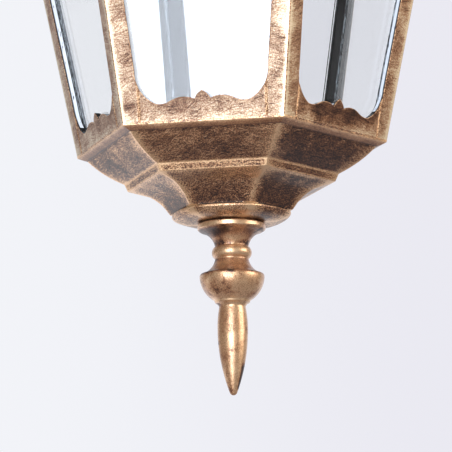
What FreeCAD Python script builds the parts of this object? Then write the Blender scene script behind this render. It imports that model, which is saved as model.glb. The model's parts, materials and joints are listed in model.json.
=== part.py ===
import FreeCAD, Part
import math
import os
import re
import Sketcher

Vec = FreeCAD.Vector
Turn = FreeCAD.Rotation
Place = FreeCAD.Placement

# Sizes in millimetres. Names that end in _drop are depths below the flange's lower edge, where the
# lantern has its own zero height. Names that end in _corner are radii at the corners of the hexagon.
SIZES = {
    # ceiling fixing
    "canopy_radius": 50,
    "canopy_depth": 26,
    "canopy_lip": 6,
    "canopy_wall": 1.6,
    "canopy_seat": 15,
    "canopy_curve": 40,
    "bracket_length": 84,
    "bracket_width": 18,
    "bracket_thick": 1.5,
    "bracket_drop": 8.5,
    "bracket_foot": 18,
    "bracket_slope": 3.5,
    "screw_pitch": 66,
    "screw_hole": 2.3,
    "earth_offset": 14.5,
    "earth_shank": 2,
    "earth_head": 3.5,
    # threaded tube, its nuts and the two loops
    "tube_radius": 5,
    "tube_bore": 3.5,
    "thread_gap": 0.05,
    "nut_flats": 14,
    "nut_thick": 4,
    "collar_radius": 8.5,
    "collar_length": 18,
    "collar_thread": 9,
    "cord_way": 2.8,
    "ring_radius": 11,
    "ring_wire": 2.6,
    "ring_sink": 1.4,
    # chain
    "link_wire": 2,
    "link_inside": 28,
    "link_width": 13,
    "link_gap": 0.3,
    # cage
    "flange_corner": 62.5,
    "post_lean": 0.212,
    "cage_tall": 150,
    "plate": 2.65,
    "post_face": 7.5,
    "reach": 115,
    "tier_corner": 58.3,
    "tier_drop": 1.5,
    "tier_curve": 42,
    "band_corner": 43.3,
    "band_drop": 11.6,
    "band_foot_corner": 41.9,
    "band_foot_drop": 14.6,
    "cove_corner": 33.2,
    "cove_drop": 17.2,
    "cove_curve": 12,
    "neck_corner": 24.4,
    "neck_drop": 25.4,
    "foot_corner": 24.9,
    "foot_curve": 4.2,
    "foot_round": 23.4,
    "seat_corner": 19.6,
    "cup_drop": 29.4,
    "cup_floor": 2.8,
    "cup_wall": 2.6,
    "pane_ledge": 0.6,
    # windows
    "peak": 11.6,
    "notch": 8.5,
    "notch_half": 3.6,
    "lobe_curve": 9,
    "lobe_half": 12.6,
    "lobe_end": 8.2,
    "low_half": 16.8,
    "low": 7.4,
    "low_curve": 9,
    "corner_rise": 20,
    "corner_curve": 13,
    "rail_tall": 14,
    # panes and their clips
    "pane_thick": 3,
    "pane_seat": 0.1,
    "pane_lap": 1.2,
    "pane_short": 9,
    "clip_gap": 0.15,
    "clip_thick": 0.8,
    "clip_nose": 3,
    "clip_wing": 7,
    "clip_tall": 8,
    "clip_height": 84,
    "clip_shank": 1.25,
    "clip_head": 2.4,
    "clip_head_thick": 1.4,
    "clip_bite": 2.2,
    # finial
    "collar_disc": 13.5,
    "collar_under": 12.5,
    "finial_neck": 6.6,
    "bead_curve": 2.9,
    "finial_flare": 7.6,
    "bowl_radius": 12.6,
    "bowl_curve": 11.5,
    "bowl_foot": 7.1,
    "spike_start": 5,
    "spike_neck_curve": 45,
    "spike_radius": 5.76,
    "spike_curve": 76,
    "spike_end": 1.45,
    "tip_rise": 1,
    "finial_drop": 97.8,
    "stud_radius": 3,
    "stud_bite": 13,
    "stud_nut_flats": 10,
    "stud_nut_thick": 5,
    "washer_radius": 9,
    "washer_thick": 1.6,
    # roof
    "skirt_gap": 0.6,
    "skirt_thick": 2.5,
    "skirt_below": 7,
    "skirt_above": 3,
    "eave_step": 3,
    "roof_tall": 54,
    "roof_wall": 2.5,
    "roof_band": 44,
    "roof_band_rise": 32,
    "roof_band_tall": 4,
    "roof_cove_curve": 70,
    "roof_dome_curve": 34,
    "roof_top": 18.5,
    "roof_screw_drop": 3.5,
    "roof_screw_shank": 2,
    "roof_screw_head": 3.6,
    "roof_screw_dome": 2.4,
    "seal_radius": 12,
    "seal_thick": 1.5,
    "cap_radius": 16.5,
    "cap_rim": 2.5,
    "cap_tall": 13.5,
    "cap_curve": 12,
    "cap_neck": 10,
    # lampholder and bulb
    "holder_neck": 8,
    "holder_neck_tall": 9,
    "holder_radius": 20,
    "holder_dome": 14,
    "holder_wall": 2,
    "holder_spigot": 4,
    "holder_skirt": 32,
    "holder_mouth": 14.6,
    "core_radius": 16,
    "core_tall": 9.8,
    "contact_radius": 4,
    "contact_rivet": 1.5,
    "sleeve_wall": 0.7,
    "sleeve_length": 23,
    "bulb_cap": 13.2,
    "bulb_cap_length": 22,
    "bulb_button": 4.5,
    "bulb_radius": 30,
    "bulb_length": 100,
    "bulb_neck": 14.5,
    "fit_gap": 0.2,
}

doc = FreeCAD.newDocument("HangingLantern")
sheet = doc.addObject("Spreadsheet::Sheet", "Sizes")
for row, (alias, size) in enumerate(SIZES.items(), start=1):
    sheet.set(f"A{row}", alias)
    sheet.set(f"B{row}", str(size))
    sheet.setAlias(f"B{row}", alias)
doc.recompute()

WORD = re.compile(r"[a-z][a-z_]*[a-z]")
nodes = []


def bind(text):
    """Turn names of sizes in a formula into references to the sheet's cells."""
    return WORD.sub(lambda m: "Sizes." + m.group(0) if m.group(0) in SIZES else m.group(0), text)


def val(text):
    """The present value of a formula."""
    return float(sheet.evalExpression(bind(text)))


def rest(item, height, rotation=None):
    """Put an item at a height on the lamp's axis."""
    item.Placement = Place(Vec(0, 0, val(height)), rotation or Turn())
    item.setExpression("Placement.Base.z", bind(height))
    return item


def node(item, label):
    """Name a finished sub-part and list it for writing."""
    item.Label = label
    nodes.append(item)
    return item


def outline(sketch, corners):
    """Close an outline. A corner is (x, y), or (x, y, radius, side) where the edge to it is an arc.

    Side +1 bulges to the left of the way along the outline and -1 to the right.
    """
    points = [Vec(val(c[0]), val(c[1]), 0) for c in corners]
    heads = []
    tails = []
    for i, corner in enumerate(corners):
        start = points[i - 1]
        end = points[i]
        if len(corner) == 2:
            sketch.addGeometry(Part.LineSegment(start, end))
            heads.append(1)
            tails.append(2)
            continue
        radius = val(corner[2])
        side = corner[3]
        chord = end - start
        left = Vec(-chord.y, chord.x, 0) / chord.Length
        rise = math.sqrt(radius ** 2 - (chord.Length / 2) ** 2)
        centre = (start + end) / 2 - left * (rise * side)
        angles = [math.atan2(p.y - centre.y, p.x - centre.x) for p in (start, end)]
        if side > 0:
            angles.reverse()
        circle = Part.Circle(centre, Vec(0, 0, 1), radius)
        sketch.addGeometry(Part.ArcOfCircle(circle, angles[0], angles[1]))
        heads.append(2 if side > 0 else 1)
        tails.append(1 if side > 0 else 2)
    for i, corner in enumerate(corners):
        after = (i + 1) % len(corners)
        sketch.addConstraint(Sketcher.Constraint("Coincident", i, tails[i], after, heads[after]))
        for kind, text in (("DistanceX", corner[0]), ("DistanceY", corner[1])):
            rule = Sketcher.Constraint(kind, -1, 1, i, tails[i], val(text))
            number = sketch.addConstraint(rule)
            sketch.setExpression(f"Constraints[{number}]", bind(text))
        if len(corner) > 2:
            number = sketch.addConstraint(Sketcher.Constraint("Radius", i, val(corner[2])))
            sketch.setExpression(f"Constraints[{number}]", bind(corner[2]))
    return sketch


def circle(sketch, x, y, radius):
    """Add a circle with a bound centre and radius."""
    middle = Vec(val(x), val(y), 0)
    edge = sketch.addGeometry(Part.Circle(middle, Vec(0, 0, 1), val(radius)))
    for kind, text in (("DistanceX", x), ("DistanceY", y)):
        number = sketch.addConstraint(Sketcher.Constraint(kind, -1, 1, edge, 3, val(text)))
        sketch.setExpression(f"Constraints[{number}]", bind(text))
    number = sketch.addConstraint(Sketcher.Constraint("Radius", edge, val(radius)))
    sketch.setExpression(f"Constraints[{number}]", bind(radius))


def body_sketch(body, name, role):
    """An empty sketch on one of a body's own planes."""
    sketch = body.newObject("Sketcher::SketchObject", name)
    plane = next(f for f in body.Origin.OriginFeatures if f.Role == role)
    sketch.AttachmentSupport = [(plane, "")]
    sketch.MapMode = "FlatFace"
    return sketch


def turned(name, corners):
    """A turned solid from its half section, radius across and height up."""
    body = doc.addObject("PartDesign::Body", name)
    section = outline(body_sketch(body, name + "_section", "XZ_Plane"), corners)
    turn = body.newObject("PartDesign::Revolution", name + "_turn")
    turn.Profile = section
    turn.ReferenceAxis = (section, ["V_Axis"])
    turn.Angle = 360
    body.Tip = turn
    return body


def washer(name, inner, outer, low, high):
    """A flat ring or tube between two heights."""
    return turned(name, [(inner, low), (outer, low), (outer, high), (inner, high)])


def pin(name, radius, length, placement):
    """A round cutter or bar that starts at a placement and runs along its own axis."""
    bar = doc.addObject("Part::Cylinder", name)
    bar.setExpression("Radius", bind(radius))
    bar.setExpression("Height", bind(length))
    bar.Placement = placement
    return bar


def copy_of(item, name, placement):
    """The same item again at another placement."""
    twin = doc.addObject("App::Link", name)
    twin.LinkedObject = item
    twin.Placement = placement
    return twin


def around(item, name, angles, placement):
    """Copies of an item turned about the lamp's axis."""
    copies = []
    for angle in angles:
        spot = Place(Vec(), Turn(Vec(0, 0, 1), angle)).multiply(placement)
        copies.append(copy_of(item, f"{name}_{angle}", spot))
    return copies


def joined(name, items):
    """One solid from items that overlap."""
    whole = doc.addObject("Part::MultiFuse", name)
    whole.Shapes = items
    return whole


def cut(name, base, tool):
    """A base with a tool taken away."""
    result = doc.addObject("Part::Cut", name)
    result.Base = base
    result.Tool = tool
    return result


def group(name, items):
    """Separate equal solids that share a node."""
    whole = doc.addObject("Part::Compound", name)
    whole.Links = items
    return whole


def six_sided(name, corners, extra=()):
    """A solid with hexagonal level sections: six equal sides, each with the same profile, in common."""
    profile = doc.addObject("Sketcher::SketchObject", name + "_profile")
    profile.Placement = Place(Vec(), Turn(Vec(1, 1, 1), 120))
    outline(profile, corners)
    side = doc.addObject("Part::Extrusion", name + "_side")
    side.Base = profile
    side.DirMode = "Normal"
    side.Solid = True
    side.Symmetric = True
    side.setExpression("LengthFwd", bind("2 * reach"))
    others = around(side, name + "_turned", range(60, 360, 60), Place())
    whole = doc.addObject("Part::MultiCommon", name)
    whole.Shapes = [side] + others + list(extra)
    return whole


def hex_nut(name, flats, thick, bore):
    """A plain hexagon nut that stands on its own lower face."""
    blank = doc.addObject("Part::Prism", name + "_blank")
    blank.Polygon = 6
    blank.setExpression("Circumradius", bind(f"{flats} / 2 / cos(30)"))
    blank.setExpression("Height", bind(thick))
    hole = pin(name + "_hole", bore, f"{thick} + 2", Place(Vec(0, 0, -1), Turn()))
    return cut(name, blank, hole)


# Heights along the lamp's axis, from the ceiling down.
crown = "(collar_length + ring_sink + 2 * ring_radius)"
hook = "(ring_wire + link_wire + link_gap)"
link_span = "(link_inside + 2 * link_wire)"
link_pitch = "(link_inside - link_gap)"
canopy_crown = f"(-canopy_depth - {crown})"
LINKS = 5
first_link = f"({canopy_crown} + {hook} - {link_span} / 2)"
last_foot = f"({first_link} - {LINKS - 1} * {link_pitch} - {link_span} / 2)"
loop_foot = f"({last_foot} + {hook} - {crown})"
lantern = f"({loop_foot} - cap_tall - seal_thick - roof_tall - cage_tall)"
thread = "(tube_radius + thread_gap)"
zero_place = Place()

# Ceiling bracket: a strap bent to a low hat, with its feet on the ceiling.
bracket = doc.addObject("PartDesign::Body", "ceiling_bracket")
inner_foot = "(bracket_length / 2 - bracket_foot)"
low_end = f"({inner_foot} - bracket_slope)"
strap = [
    ("bracket_length / 2", "0"),
    (inner_foot, "0"),
    (low_end, "-bracket_drop"),
    (f"-{low_end}", "-bracket_drop"),
    (f"-{inner_foot}", "0"),
    ("-bracket_length / 2", "0"),
    ("-bracket_length / 2", "-bracket_thick"),
    (f"-{inner_foot} - 1", "-bracket_thick"),
    (f"-{low_end} - 1", "-bracket_drop - bracket_thick"),
    (f"{low_end} + 1", "-bracket_drop - bracket_thick"),
    (f"{inner_foot} + 1", "-bracket_thick"),
    ("bracket_length / 2", "-bracket_thick"),
]
strap_sketch = outline(body_sketch(bracket, "strap_profile", "XZ_Plane"), strap)
strap_pad = bracket.newObject("PartDesign::Pad", "strap_pad")
strap_pad.Profile = strap_sketch
strap_pad.SideType = "Symmetric"
strap_pad.setExpression("Length", bind("bracket_width"))
holes_sketch = body_sketch(bracket, "strap_holes", "XY_Plane")
circle(holes_sketch, "screw_pitch / 2", "0", "screw_hole")
circle(holes_sketch, "-screw_pitch / 2", "0", "screw_hole")
circle(holes_sketch, "0", "0", thread)
circle(holes_sketch, "earth_offset", "0", "earth_shank + thread_gap")
strap_pocket = bracket.newObject("PartDesign::Pocket", "strap_pocket")
strap_pocket.Profile = holes_sketch
strap_pocket.Type = "ThroughAll"
strap_pocket.Midplane = True
bracket.Tip = strap_pocket
node(bracket, "ceiling_bracket")

# Canopy: a spun cup that hides the bracket, with its rim on the ceiling.
canopy = turned("canopy", [
    ("canopy_radius", "0"),
    ("canopy_radius", "-canopy_lip"),
    ("canopy_seat", "-canopy_depth + 2", "canopy_curve", 1),
    ("canopy_seat - 2", "-canopy_depth"),
    (thread, "-canopy_depth"),
    (thread, "-canopy_depth + canopy_wall"),
    ("canopy_seat - 2 - canopy_wall / 2", "-canopy_depth + canopy_wall"),
    ("canopy_seat - canopy_wall / 2", "-canopy_depth + 2 + canopy_wall"),
    ("canopy_radius - canopy_wall", "-canopy_lip", "canopy_curve - canopy_wall", -1),
    ("canopy_radius - canopy_wall", "0"),
])
node(canopy, "canopy")

# Threaded tube through bracket and canopy into the loop, and its two nuts.
canopy_tube = washer("canopy_nipple", "tube_bore", "tube_radius",
                     "-canopy_depth - collar_thread + fit_gap", "-bracket_drop + nut_thick + 0.5")
node(canopy_tube, "canopy_nipple")
tube_nut = hex_nut("tube_nut", "nut_flats", "nut_thick", thread)
nut_above = copy_of(tube_nut, "nut_above", Place(Vec(0, 0, val("-bracket_drop")), Turn()))
nut_below = copy_of(tube_nut, "nut_below",
                    Place(Vec(0, 0, val("-bracket_drop - bracket_thick - nut_thick")), Turn()))
node(group("canopy_nuts", [nut_above, nut_below]), "canopy_nuts")

# Earth screw under the bracket.
earth = turned("earth_screw", [
    ("0", "-2.4"),
    ("earth_head - 0.8", "-2.4"),
    ("earth_head", "-1.6"),
    ("earth_head", "0"),
    ("earth_shank", "0"),
    ("earth_shank", "bracket_thick + 3"),
    ("0", "bracket_thick + 3"),
])
rest(earth, "-bracket_drop - bracket_thick")
earth.setExpression("Placement.Base.x", bind("earth_offset"))
node(earth, "earth_screw")


def hanging_loop(name):
    """A collar with a threaded hole, a cord way out of its side, and a ring on top."""
    collar = turned(name + "_collar", [
        ("0", "0"),
        ("collar_radius", "0"),
        ("collar_radius", "collar_length - 3"),
        ("collar_radius - 2.5", "collar_length"),
        ("0", "collar_length"),
    ])
    ring = doc.addObject("Part::Torus", name + "_ring")
    ring.setExpression("Radius1", bind("ring_radius"))
    ring.setExpression("Radius2", bind("ring_wire"))
    rest(ring, "collar_length + ring_sink + ring_radius", Turn(Vec(1, 0, 0), 90))
    bore = pin(name + "_bore", thread, "collar_thread + 1", Place(Vec(0, 0, -1), Turn()))
    space = pin(name + "_space", "tube_bore", "collar_length - 2", zero_place)
    way = pin(name + "_way", "cord_way", "collar_radius + 2", Place(Vec(), Turn(Vec(1, 0, 0), -90)))
    rest(way, "collar_length - cord_way - 2.4", Turn(Vec(1, 0, 0), -90))
    blank = joined(name + "_blank", [collar, ring])
    return cut(name, blank, joined(name + "_cutter", [bore, space, way]))


canopy_loop = hanging_loop("canopy_loop")
node(rest(canopy_loop, "-canopy_depth", Turn(Vec(1, 0, 0), 180)), "canopy_loop")

# Chain of bent wire links, each a quarter turn from the one above it.
bend = "(link_width / 2 + link_wire)"
straight = f"({link_span} / 2 - {bend})"
for number in range(1, LINKS + 1):
    name = f"chain_link_{number}"
    link = doc.addObject("PartDesign::Body", name)
    upright = "YZ_Plane" if number % 2 else "XZ_Plane"
    spine = outline(body_sketch(link, name + "_spine", upright), [
        (bend, straight),
        ("0", f"{straight} + {bend}", bend, -1),
        (f"-{bend}", straight, bend, -1),
        (f"-{bend}", f"-{straight}"),
        ("0", f"-{straight} - {bend}", bend, -1),
        (bend, f"-{straight}", bend, -1),
    ])
    wire = body_sketch(link, name + "_wire", "XY_Plane")
    if number % 2:
        circle(wire, "0", bend, "link_wire")
    else:
        circle(wire, bend, "0", "link_wire")
    pipe = link.newObject("PartDesign::AdditivePipe", name + "_pipe")
    pipe.Profile = wire
    pipe.Spine = spine
    link.Tip = pipe
    rest(link, f"{first_link} - {number - 1} * {link_pitch}")
    node(link, name)

# Lantern. All its pieces are drawn with the flange's lower edge at height zero.
flat = "cos(30)"
lean = f"(post_lean * {flat})"
flange = f"(flange_corner * {flat})"
tilt = math.degrees(math.atan(val(lean)))
corner_tilt = math.degrees(math.atan(val("post_lean")))
top_flat = f"({flange} + {lean} * cage_tall)"
floor = "(-cup_drop + cup_floor)"

# Blank that rounds the corners of the cup's foot.
foot_blank = turned("foot_blank", [
    ("0", "-cup_drop - 1"),
    ("seat_corner - 1", "-cup_drop - 1"),
    ("seat_corner - 1", "-cup_drop"),
    ("foot_round", "-neck_drop - 0.4", "foot_curve + 1", -1),
    ("2 * reach", "-neck_drop - 0.4"),
    ("2 * reach", "cage_tall + 1"),
    ("0", "cage_tall + 1"),
])

# Outside of the cage: tiered cup below, leaning sides above.
cage_outer = six_sided("cage_outer", [
    ("-reach", "-cup_drop"),
    (f"seat_corner * {flat}", "-cup_drop"),
    (f"foot_corner * {flat}", "-neck_drop - 0.4", "foot_curve", -1),
    (f"neck_corner * {flat}", "-neck_drop"),
    (f"cove_corner * {flat}", "-cove_drop", "cove_curve", 1),
    (f"band_foot_corner * {flat}", "-band_foot_drop"),
    (f"band_corner * {flat}", "-band_drop"),
    (f"tier_corner * {flat}", "-tier_drop", "tier_curve", -1),
    (flange, "0"),
    (top_flat, "cage_tall"),
    ("-reach", "cage_tall"),
], [foot_blank])

# Hollow of the cage: cup, ledge for the panes, inner faces of the sides.
cage_inner = six_sided("cage_inner", [
    ("-reach", floor),
    (f"neck_corner * {flat} - cup_wall", floor),
    (f"neck_corner * {flat} - cup_wall + 0.3", "-neck_drop + 1.5"),
    (f"cove_corner * {flat} - cup_wall", "-cove_drop + cup_wall - 0.2", "cove_curve + cup_wall", 1),
    (f"band_foot_corner * {flat} - cup_wall + 0.4", "-band_foot_drop + cup_wall - 0.4"),
    (f"band_corner * {flat} - cup_wall + 1.2", "-band_drop + cup_wall - 0.7"),
    (f"tier_corner * {flat} - cup_wall - 0.4", "-tier_drop + 0.8"),
    (f"tier_corner * {flat} - cup_wall - 0.4", "pane_ledge"),
    (f"{flange} - plate + {lean} * pane_ledge", "pane_ledge"),
    (f"{top_flat} - plate + {lean}", "cage_tall + 1"),
    ("-reach", "cage_tall + 1"),
])

# Windows: parallel to the posts, with a scalloped lower edge and a plain head.
half_low = "(flange_corner / 2 - post_face)"
side_lean = "(post_lean / 2)"
head = "(cage_tall - rail_tall)"
window_half = [
    ("notch_half", "notch"),
    ("lobe_half", "lobe_end", "lobe_curve", 1),
    ("low_half + 1.2", "low", "low_curve", -1),
    (f"{half_low} + {side_lean} * corner_rise", "corner_rise", "corner_curve", -1),
    (f"{half_low} + {side_lean} * ({head} - 5)", f"{head} - 5"),
    (f"{half_low} + {side_lean} * {head} - 5", head, "5.6", -1),
]
window_back = [
    (f"-({half_low} + {side_lean} * {head} - 5)", head),
    (f"-({half_low} + {side_lean} * ({head} - 5))", f"{head} - 5", "5.6", -1),
    (f"-({half_low} + {side_lean} * corner_rise)", "corner_rise"),
    ("-(low_half + 1.2)", "low", "corner_curve", -1),
    ("-lobe_half", "lobe_end", "low_curve", -1),
    ("-notch_half", "notch", "lobe_curve", 1),
    ("0", "peak"),
]
window_sketch = doc.addObject("Sketcher::SketchObject", "window_outline")
window_sketch.Placement = Place(Vec(), Turn(Vec(1, 0, 0), 90))
outline(window_sketch, window_half + window_back)
window = doc.addObject("Part::Extrusion", "window")
window.Base = window_sketch
window.DirMode = "Normal"
window.Solid = True
window.Symmetric = True
window.setExpression("LengthFwd", bind("2 * reach"))
windows = [window] + around(window, "window_turned", (60, 120), zero_place)

# Holes in the cage: finial stud, roof screws, clip screws.
stud_hole = pin("stud_hole", "stud_radius + fit_gap", "cup_floor + 2", zero_place)
rest(stud_hole, "-cup_drop - 1")
outward = Turn(Vec(1, 0, 0), -90)
rail_hole = pin("rail_hole", "roof_screw_shank + thread_gap", "reach", zero_place)
rail_spot = Place(Vec(0, val("reach / 2"), val("cage_tall - roof_screw_drop")), outward)
rail_holes = around(rail_hole, "rail_hole_turned", (0, 120, 240), rail_spot)
inner_corner = f"(({flange} - plate) / {flat} + post_lean * clip_height)"
clip_turn = Turn(Vec(0, 1, 0), corner_tilt)
clip_spot = Place(Vec(val(inner_corner), 0, val("clip_height")), clip_turn)
sideways = Place(Vec(), Turn(Vec(0, 1, 0), 90))
bite_hole = pin("bite_hole", "clip_shank + thread_gap", "2 * clip_bite", zero_place)
bite_start = Place(Vec(-val("clip_bite"), 0, 0), Turn())
bite_spot = clip_spot.multiply(bite_start).multiply(sideways)
bite_holes = around(bite_hole, "bite_hole_turned", range(0, 360, 60), bite_spot)

cage_cutter = joined("cage_cutter", [cage_inner] + windows + [stud_hole] + rail_holes + bite_holes)
cage = cut("cage", cage_outer, cage_cutter)
node(rest(cage, lantern), "cage")

# Glass panes behind the windows.
pane_foot = "((pane_ledge + 0.1) / cos(atan(post_lean * cos(30))))"
pane_head = "((cage_tall - pane_short) / cos(atan(post_lean * cos(30))))"
pane_low = f"({half_low} + pane_lap + {side_lean} * pane_ledge)"
pane_high = f"({half_low} + pane_lap + {side_lean} * (cage_tall - pane_short))"
pane_base = Place(Vec(0, -val(f"{flange} - plate - pane_seat"), 0), Turn(Vec(1, 0, 0), 90 + tilt))
for number in range(6):
    name = f"glass_pane_{number + 1}"
    pane = doc.addObject("PartDesign::Body", name)
    shape = outline(body_sketch(pane, name + "_outline", "XY_Plane"), [
        (pane_low, pane_foot),
        (pane_high, pane_head),
        (f"-{pane_high}", pane_head),
        (f"-{pane_low}", pane_foot),
    ])
    sheet_pad = pane.newObject("PartDesign::Pad", name + "_pad")
    sheet_pad.Profile = shape
    sheet_pad.Reversed = True
    sheet_pad.setExpression("Length", bind("pane_thick"))
    pane.Tip = sheet_pad
    spot = Place(Vec(0, 0, val(lantern)), Turn(Vec(0, 0, 1), 60 * number))
    pane.Placement = spot.multiply(pane_base)
    node(pane, name)

# Clips that bridge the corner between two panes, and their screws.
clip_face = "(-(pane_seat + pane_thick + clip_gap) / cos(30) - clip_nose * tan(30))"
clip = doc.addObject("PartDesign::Body", "clip")
clip_outline = outline(body_sketch(clip, "clip_outline", "XY_Plane"), [
    (clip_face, "clip_nose"),
    (f"{clip_face} - clip_wing / 2", "clip_nose + clip_wing * cos(30)"),
    (f"{clip_face} - clip_wing / 2 - clip_thick * cos(30)", "clip_nose + clip_wing * cos(30) - clip_thick / 2"),
    (f"{clip_face} - clip_thick", "clip_nose - clip_thick * tan(15)"),
    (f"{clip_face} - clip_thick", "-clip_nose + clip_thick * tan(15)"),
    (f"{clip_face} - clip_wing / 2 - clip_thick * cos(30)", "-clip_nose - clip_wing * cos(30) + clip_thick / 2"),
    (f"{clip_face} - clip_wing / 2", "-clip_nose - clip_wing * cos(30)"),
    (clip_face, "-clip_nose"),
])
clip_pad = clip.newObject("PartDesign::Pad", "clip_pad")
clip_pad.Profile = clip_outline
clip_pad.SideType = "Symmetric"
clip_pad.setExpression("Length", bind("clip_tall"))
clip_hole = body_sketch(clip, "clip_hole", "YZ_Plane")
circle(clip_hole, "0", "0", "clip_shank + thread_gap")
clip_pocket = clip.newObject("PartDesign::Pocket", "clip_pocket")
clip_pocket.Profile = clip_hole
clip_pocket.Type = "ThroughAll"
clip_pocket.Midplane = True
clip.Tip = clip_pocket
clip_world = Place(Vec(0, 0, val(lantern)), Turn()).multiply(clip_spot)
clips = group("pane_clips", around(clip, "clip_turned", range(0, 360, 60), clip_world))
node(clips, "pane_clips")
clip_screw = turned("clip_screw", [
    ("0", f"{clip_face} - clip_thick - clip_head_thick"),
    ("clip_head - 0.4", f"{clip_face} - clip_thick - clip_head_thick"),
    ("clip_head", f"{clip_face} - clip_thick - clip_head_thick + 0.4"),
    ("clip_head", f"{clip_face} - clip_thick"),
    ("clip_shank", f"{clip_face} - clip_thick"),
    ("clip_shank", "clip_bite - 0.2"),
    ("0", "clip_bite - 0.2"),
])
clip_screws = around(clip_screw, "clip_screw_turned", range(0, 360, 60), clip_world.multiply(sideways))
node(group("clip_screws", clip_screws), "clip_screws")


def up_finial(share):
    """A height on the finial, as a share of its length from the tip up."""
    return f"(-finial_drop + (finial_drop - cup_drop) * {share})"


# Finial with its stud, washer and nut.
finial = turned("finial", [
    ("stud_radius + thread_gap", "-cup_drop"),
    ("stud_radius + thread_gap", "-cup_drop - stud_bite - 1"),
    ("0", "-cup_drop - stud_bite - 1"),
    ("0", "-finial_drop"),
    ("spike_end", "-finial_drop + tip_rise", "(tip_rise^2 + spike_end^2) / 2 / tip_rise", -1),
    ("spike_radius", up_finial(0.389), "spike_curve", -1),
    ("spike_start", up_finial(0.512), "spike_neck_curve", -1),
    ("bowl_foot - 0.2", up_finial(0.535), "spike_start / 2", 1),
    ("bowl_foot", up_finial(0.548)),
    ("bowl_radius", up_finial(0.678), "bowl_curve", -1),
    ("bowl_radius", up_finial(0.69)),
    ("bowl_radius - 0.3", up_finial(0.7)),
    ("finial_neck", up_finial(0.791), "finial_flare", 1),
    ("finial_neck", up_finial(0.862), "bead_curve", -1),
    ("collar_under", up_finial(0.953), "finial_flare", 1),
    ("collar_disc", up_finial(0.963)),
    ("collar_disc", up_finial(0.988)),
    ("collar_disc - 0.9", "-cup_drop"),
])
node(rest(finial, lantern), "finial")
washer_top = f"({floor} + washer_thick)"
nut_top = f"({washer_top} + stud_nut_thick)"
stud = turned("finial_stud", [
    ("0", "-cup_drop - stud_bite"),
    ("stud_radius", "-cup_drop - stud_bite"),
    ("stud_radius", f"{nut_top} + 2"),
    ("0", f"{nut_top} + 2"),
])
node(rest(stud, lantern), "finial_stud")
flat_washer = washer("finial_washer", "stud_radius + fit_gap", "washer_radius", floor, washer_top)
node(rest(flat_washer, lantern), "finial_washer")
stud_nut = hex_nut("finial_nut", "stud_nut_flats", "stud_nut_thick", "stud_radius + thread_gap")
node(rest(stud_nut, f"{lantern} + {washer_top}"), "finial_nut")

# Roof: a hexagonal shell that sits on the top rail and hangs over it.
skirt_in = f"({top_flat} + skirt_gap)"
skirt_out = f"({skirt_in} + skirt_thick)"
roof_peak = "(cage_tall + roof_tall)"
roof_outer = six_sided("roof_outer", [
    ("-reach", "cage_tall - skirt_below"),
    (skirt_out, "cage_tall - skirt_below"),
    (skirt_out, "cage_tall + skirt_above"),
    (f"{skirt_out} - eave_step", "cage_tall + skirt_above + 2.5"),
    ("roof_band", "cage_tall + roof_band_rise", "roof_cove_curve", 1),
    ("roof_band - 1.5", "cage_tall + roof_band_rise + roof_band_tall"),
    ("roof_top + 1.5", f"{roof_peak} - 4", "roof_dome_curve", -1),
    ("roof_top", roof_peak),
    ("-reach", roof_peak),
])
roof_inner = six_sided("roof_inner", [
    ("-reach", "cage_tall - skirt_below - 1"),
    (skirt_in, "cage_tall - skirt_below - 1"),
    (skirt_in, "cage_tall"),
    (f"{top_flat} - plate - 1.2", "cage_tall"),
    (f"{top_flat} - plate - 1.2", "cage_tall + skirt_above - 0.6"),
    ("roof_band - roof_wall", "cage_tall + roof_band_rise - roof_wall + 0.6", "roof_cove_curve + roof_wall", 1),
    ("roof_band - 1.5 - roof_wall", "cage_tall + roof_band_rise + roof_band_tall - roof_wall + 1"),
    ("roof_top + 1.5 - roof_wall", f"{roof_peak} - 4 - roof_wall + 0.6", "roof_dome_curve - roof_wall", -1),
    ("roof_top - roof_wall", f"{roof_peak} - roof_wall"),
    ("-reach", f"{roof_peak} - roof_wall"),
])
roof_hole = rest(pin("roof_hole", thread, "roof_wall + 2", zero_place), f"{roof_peak} - roof_wall - 1")
skirt_hole = pin("skirt_hole", "roof_screw_shank + fit_gap", "reach / 2", zero_place)
skirt_holes = around(skirt_hole, "skirt_hole_turned", (0, 120, 240), rail_spot)
roof = cut("roof", roof_outer, joined("roof_cutter", [roof_inner, roof_hole] + skirt_holes))
node(rest(roof, lantern), "roof")
screw_reach = f"({skirt_out} - ({flange} + {lean} * (cage_tall - roof_screw_drop) - plate) - 0.4)"
dome_rise = "(roof_screw_dome - 0.6)"
roof_screw = turned("roof_screw", [
    ("0", f"-{screw_reach}"),
    ("roof_screw_shank", f"-{screw_reach}"),
    ("roof_screw_shank", "0"),
    ("roof_screw_head", "0"),
    ("roof_screw_head", "0.6"),
    ("0", "roof_screw_dome", f"({dome_rise}^2 + roof_screw_head^2) / 2 / {dome_rise}", -1),
])
screw_spot = Place(Vec(0, val(skirt_out), val(f"{lantern} + cage_tall - roof_screw_drop")), outward)
node(group("roof_screws", around(roof_screw, "roof_screw_turned", (0, 120, 240), screw_spot)), "roof_screws")

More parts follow.
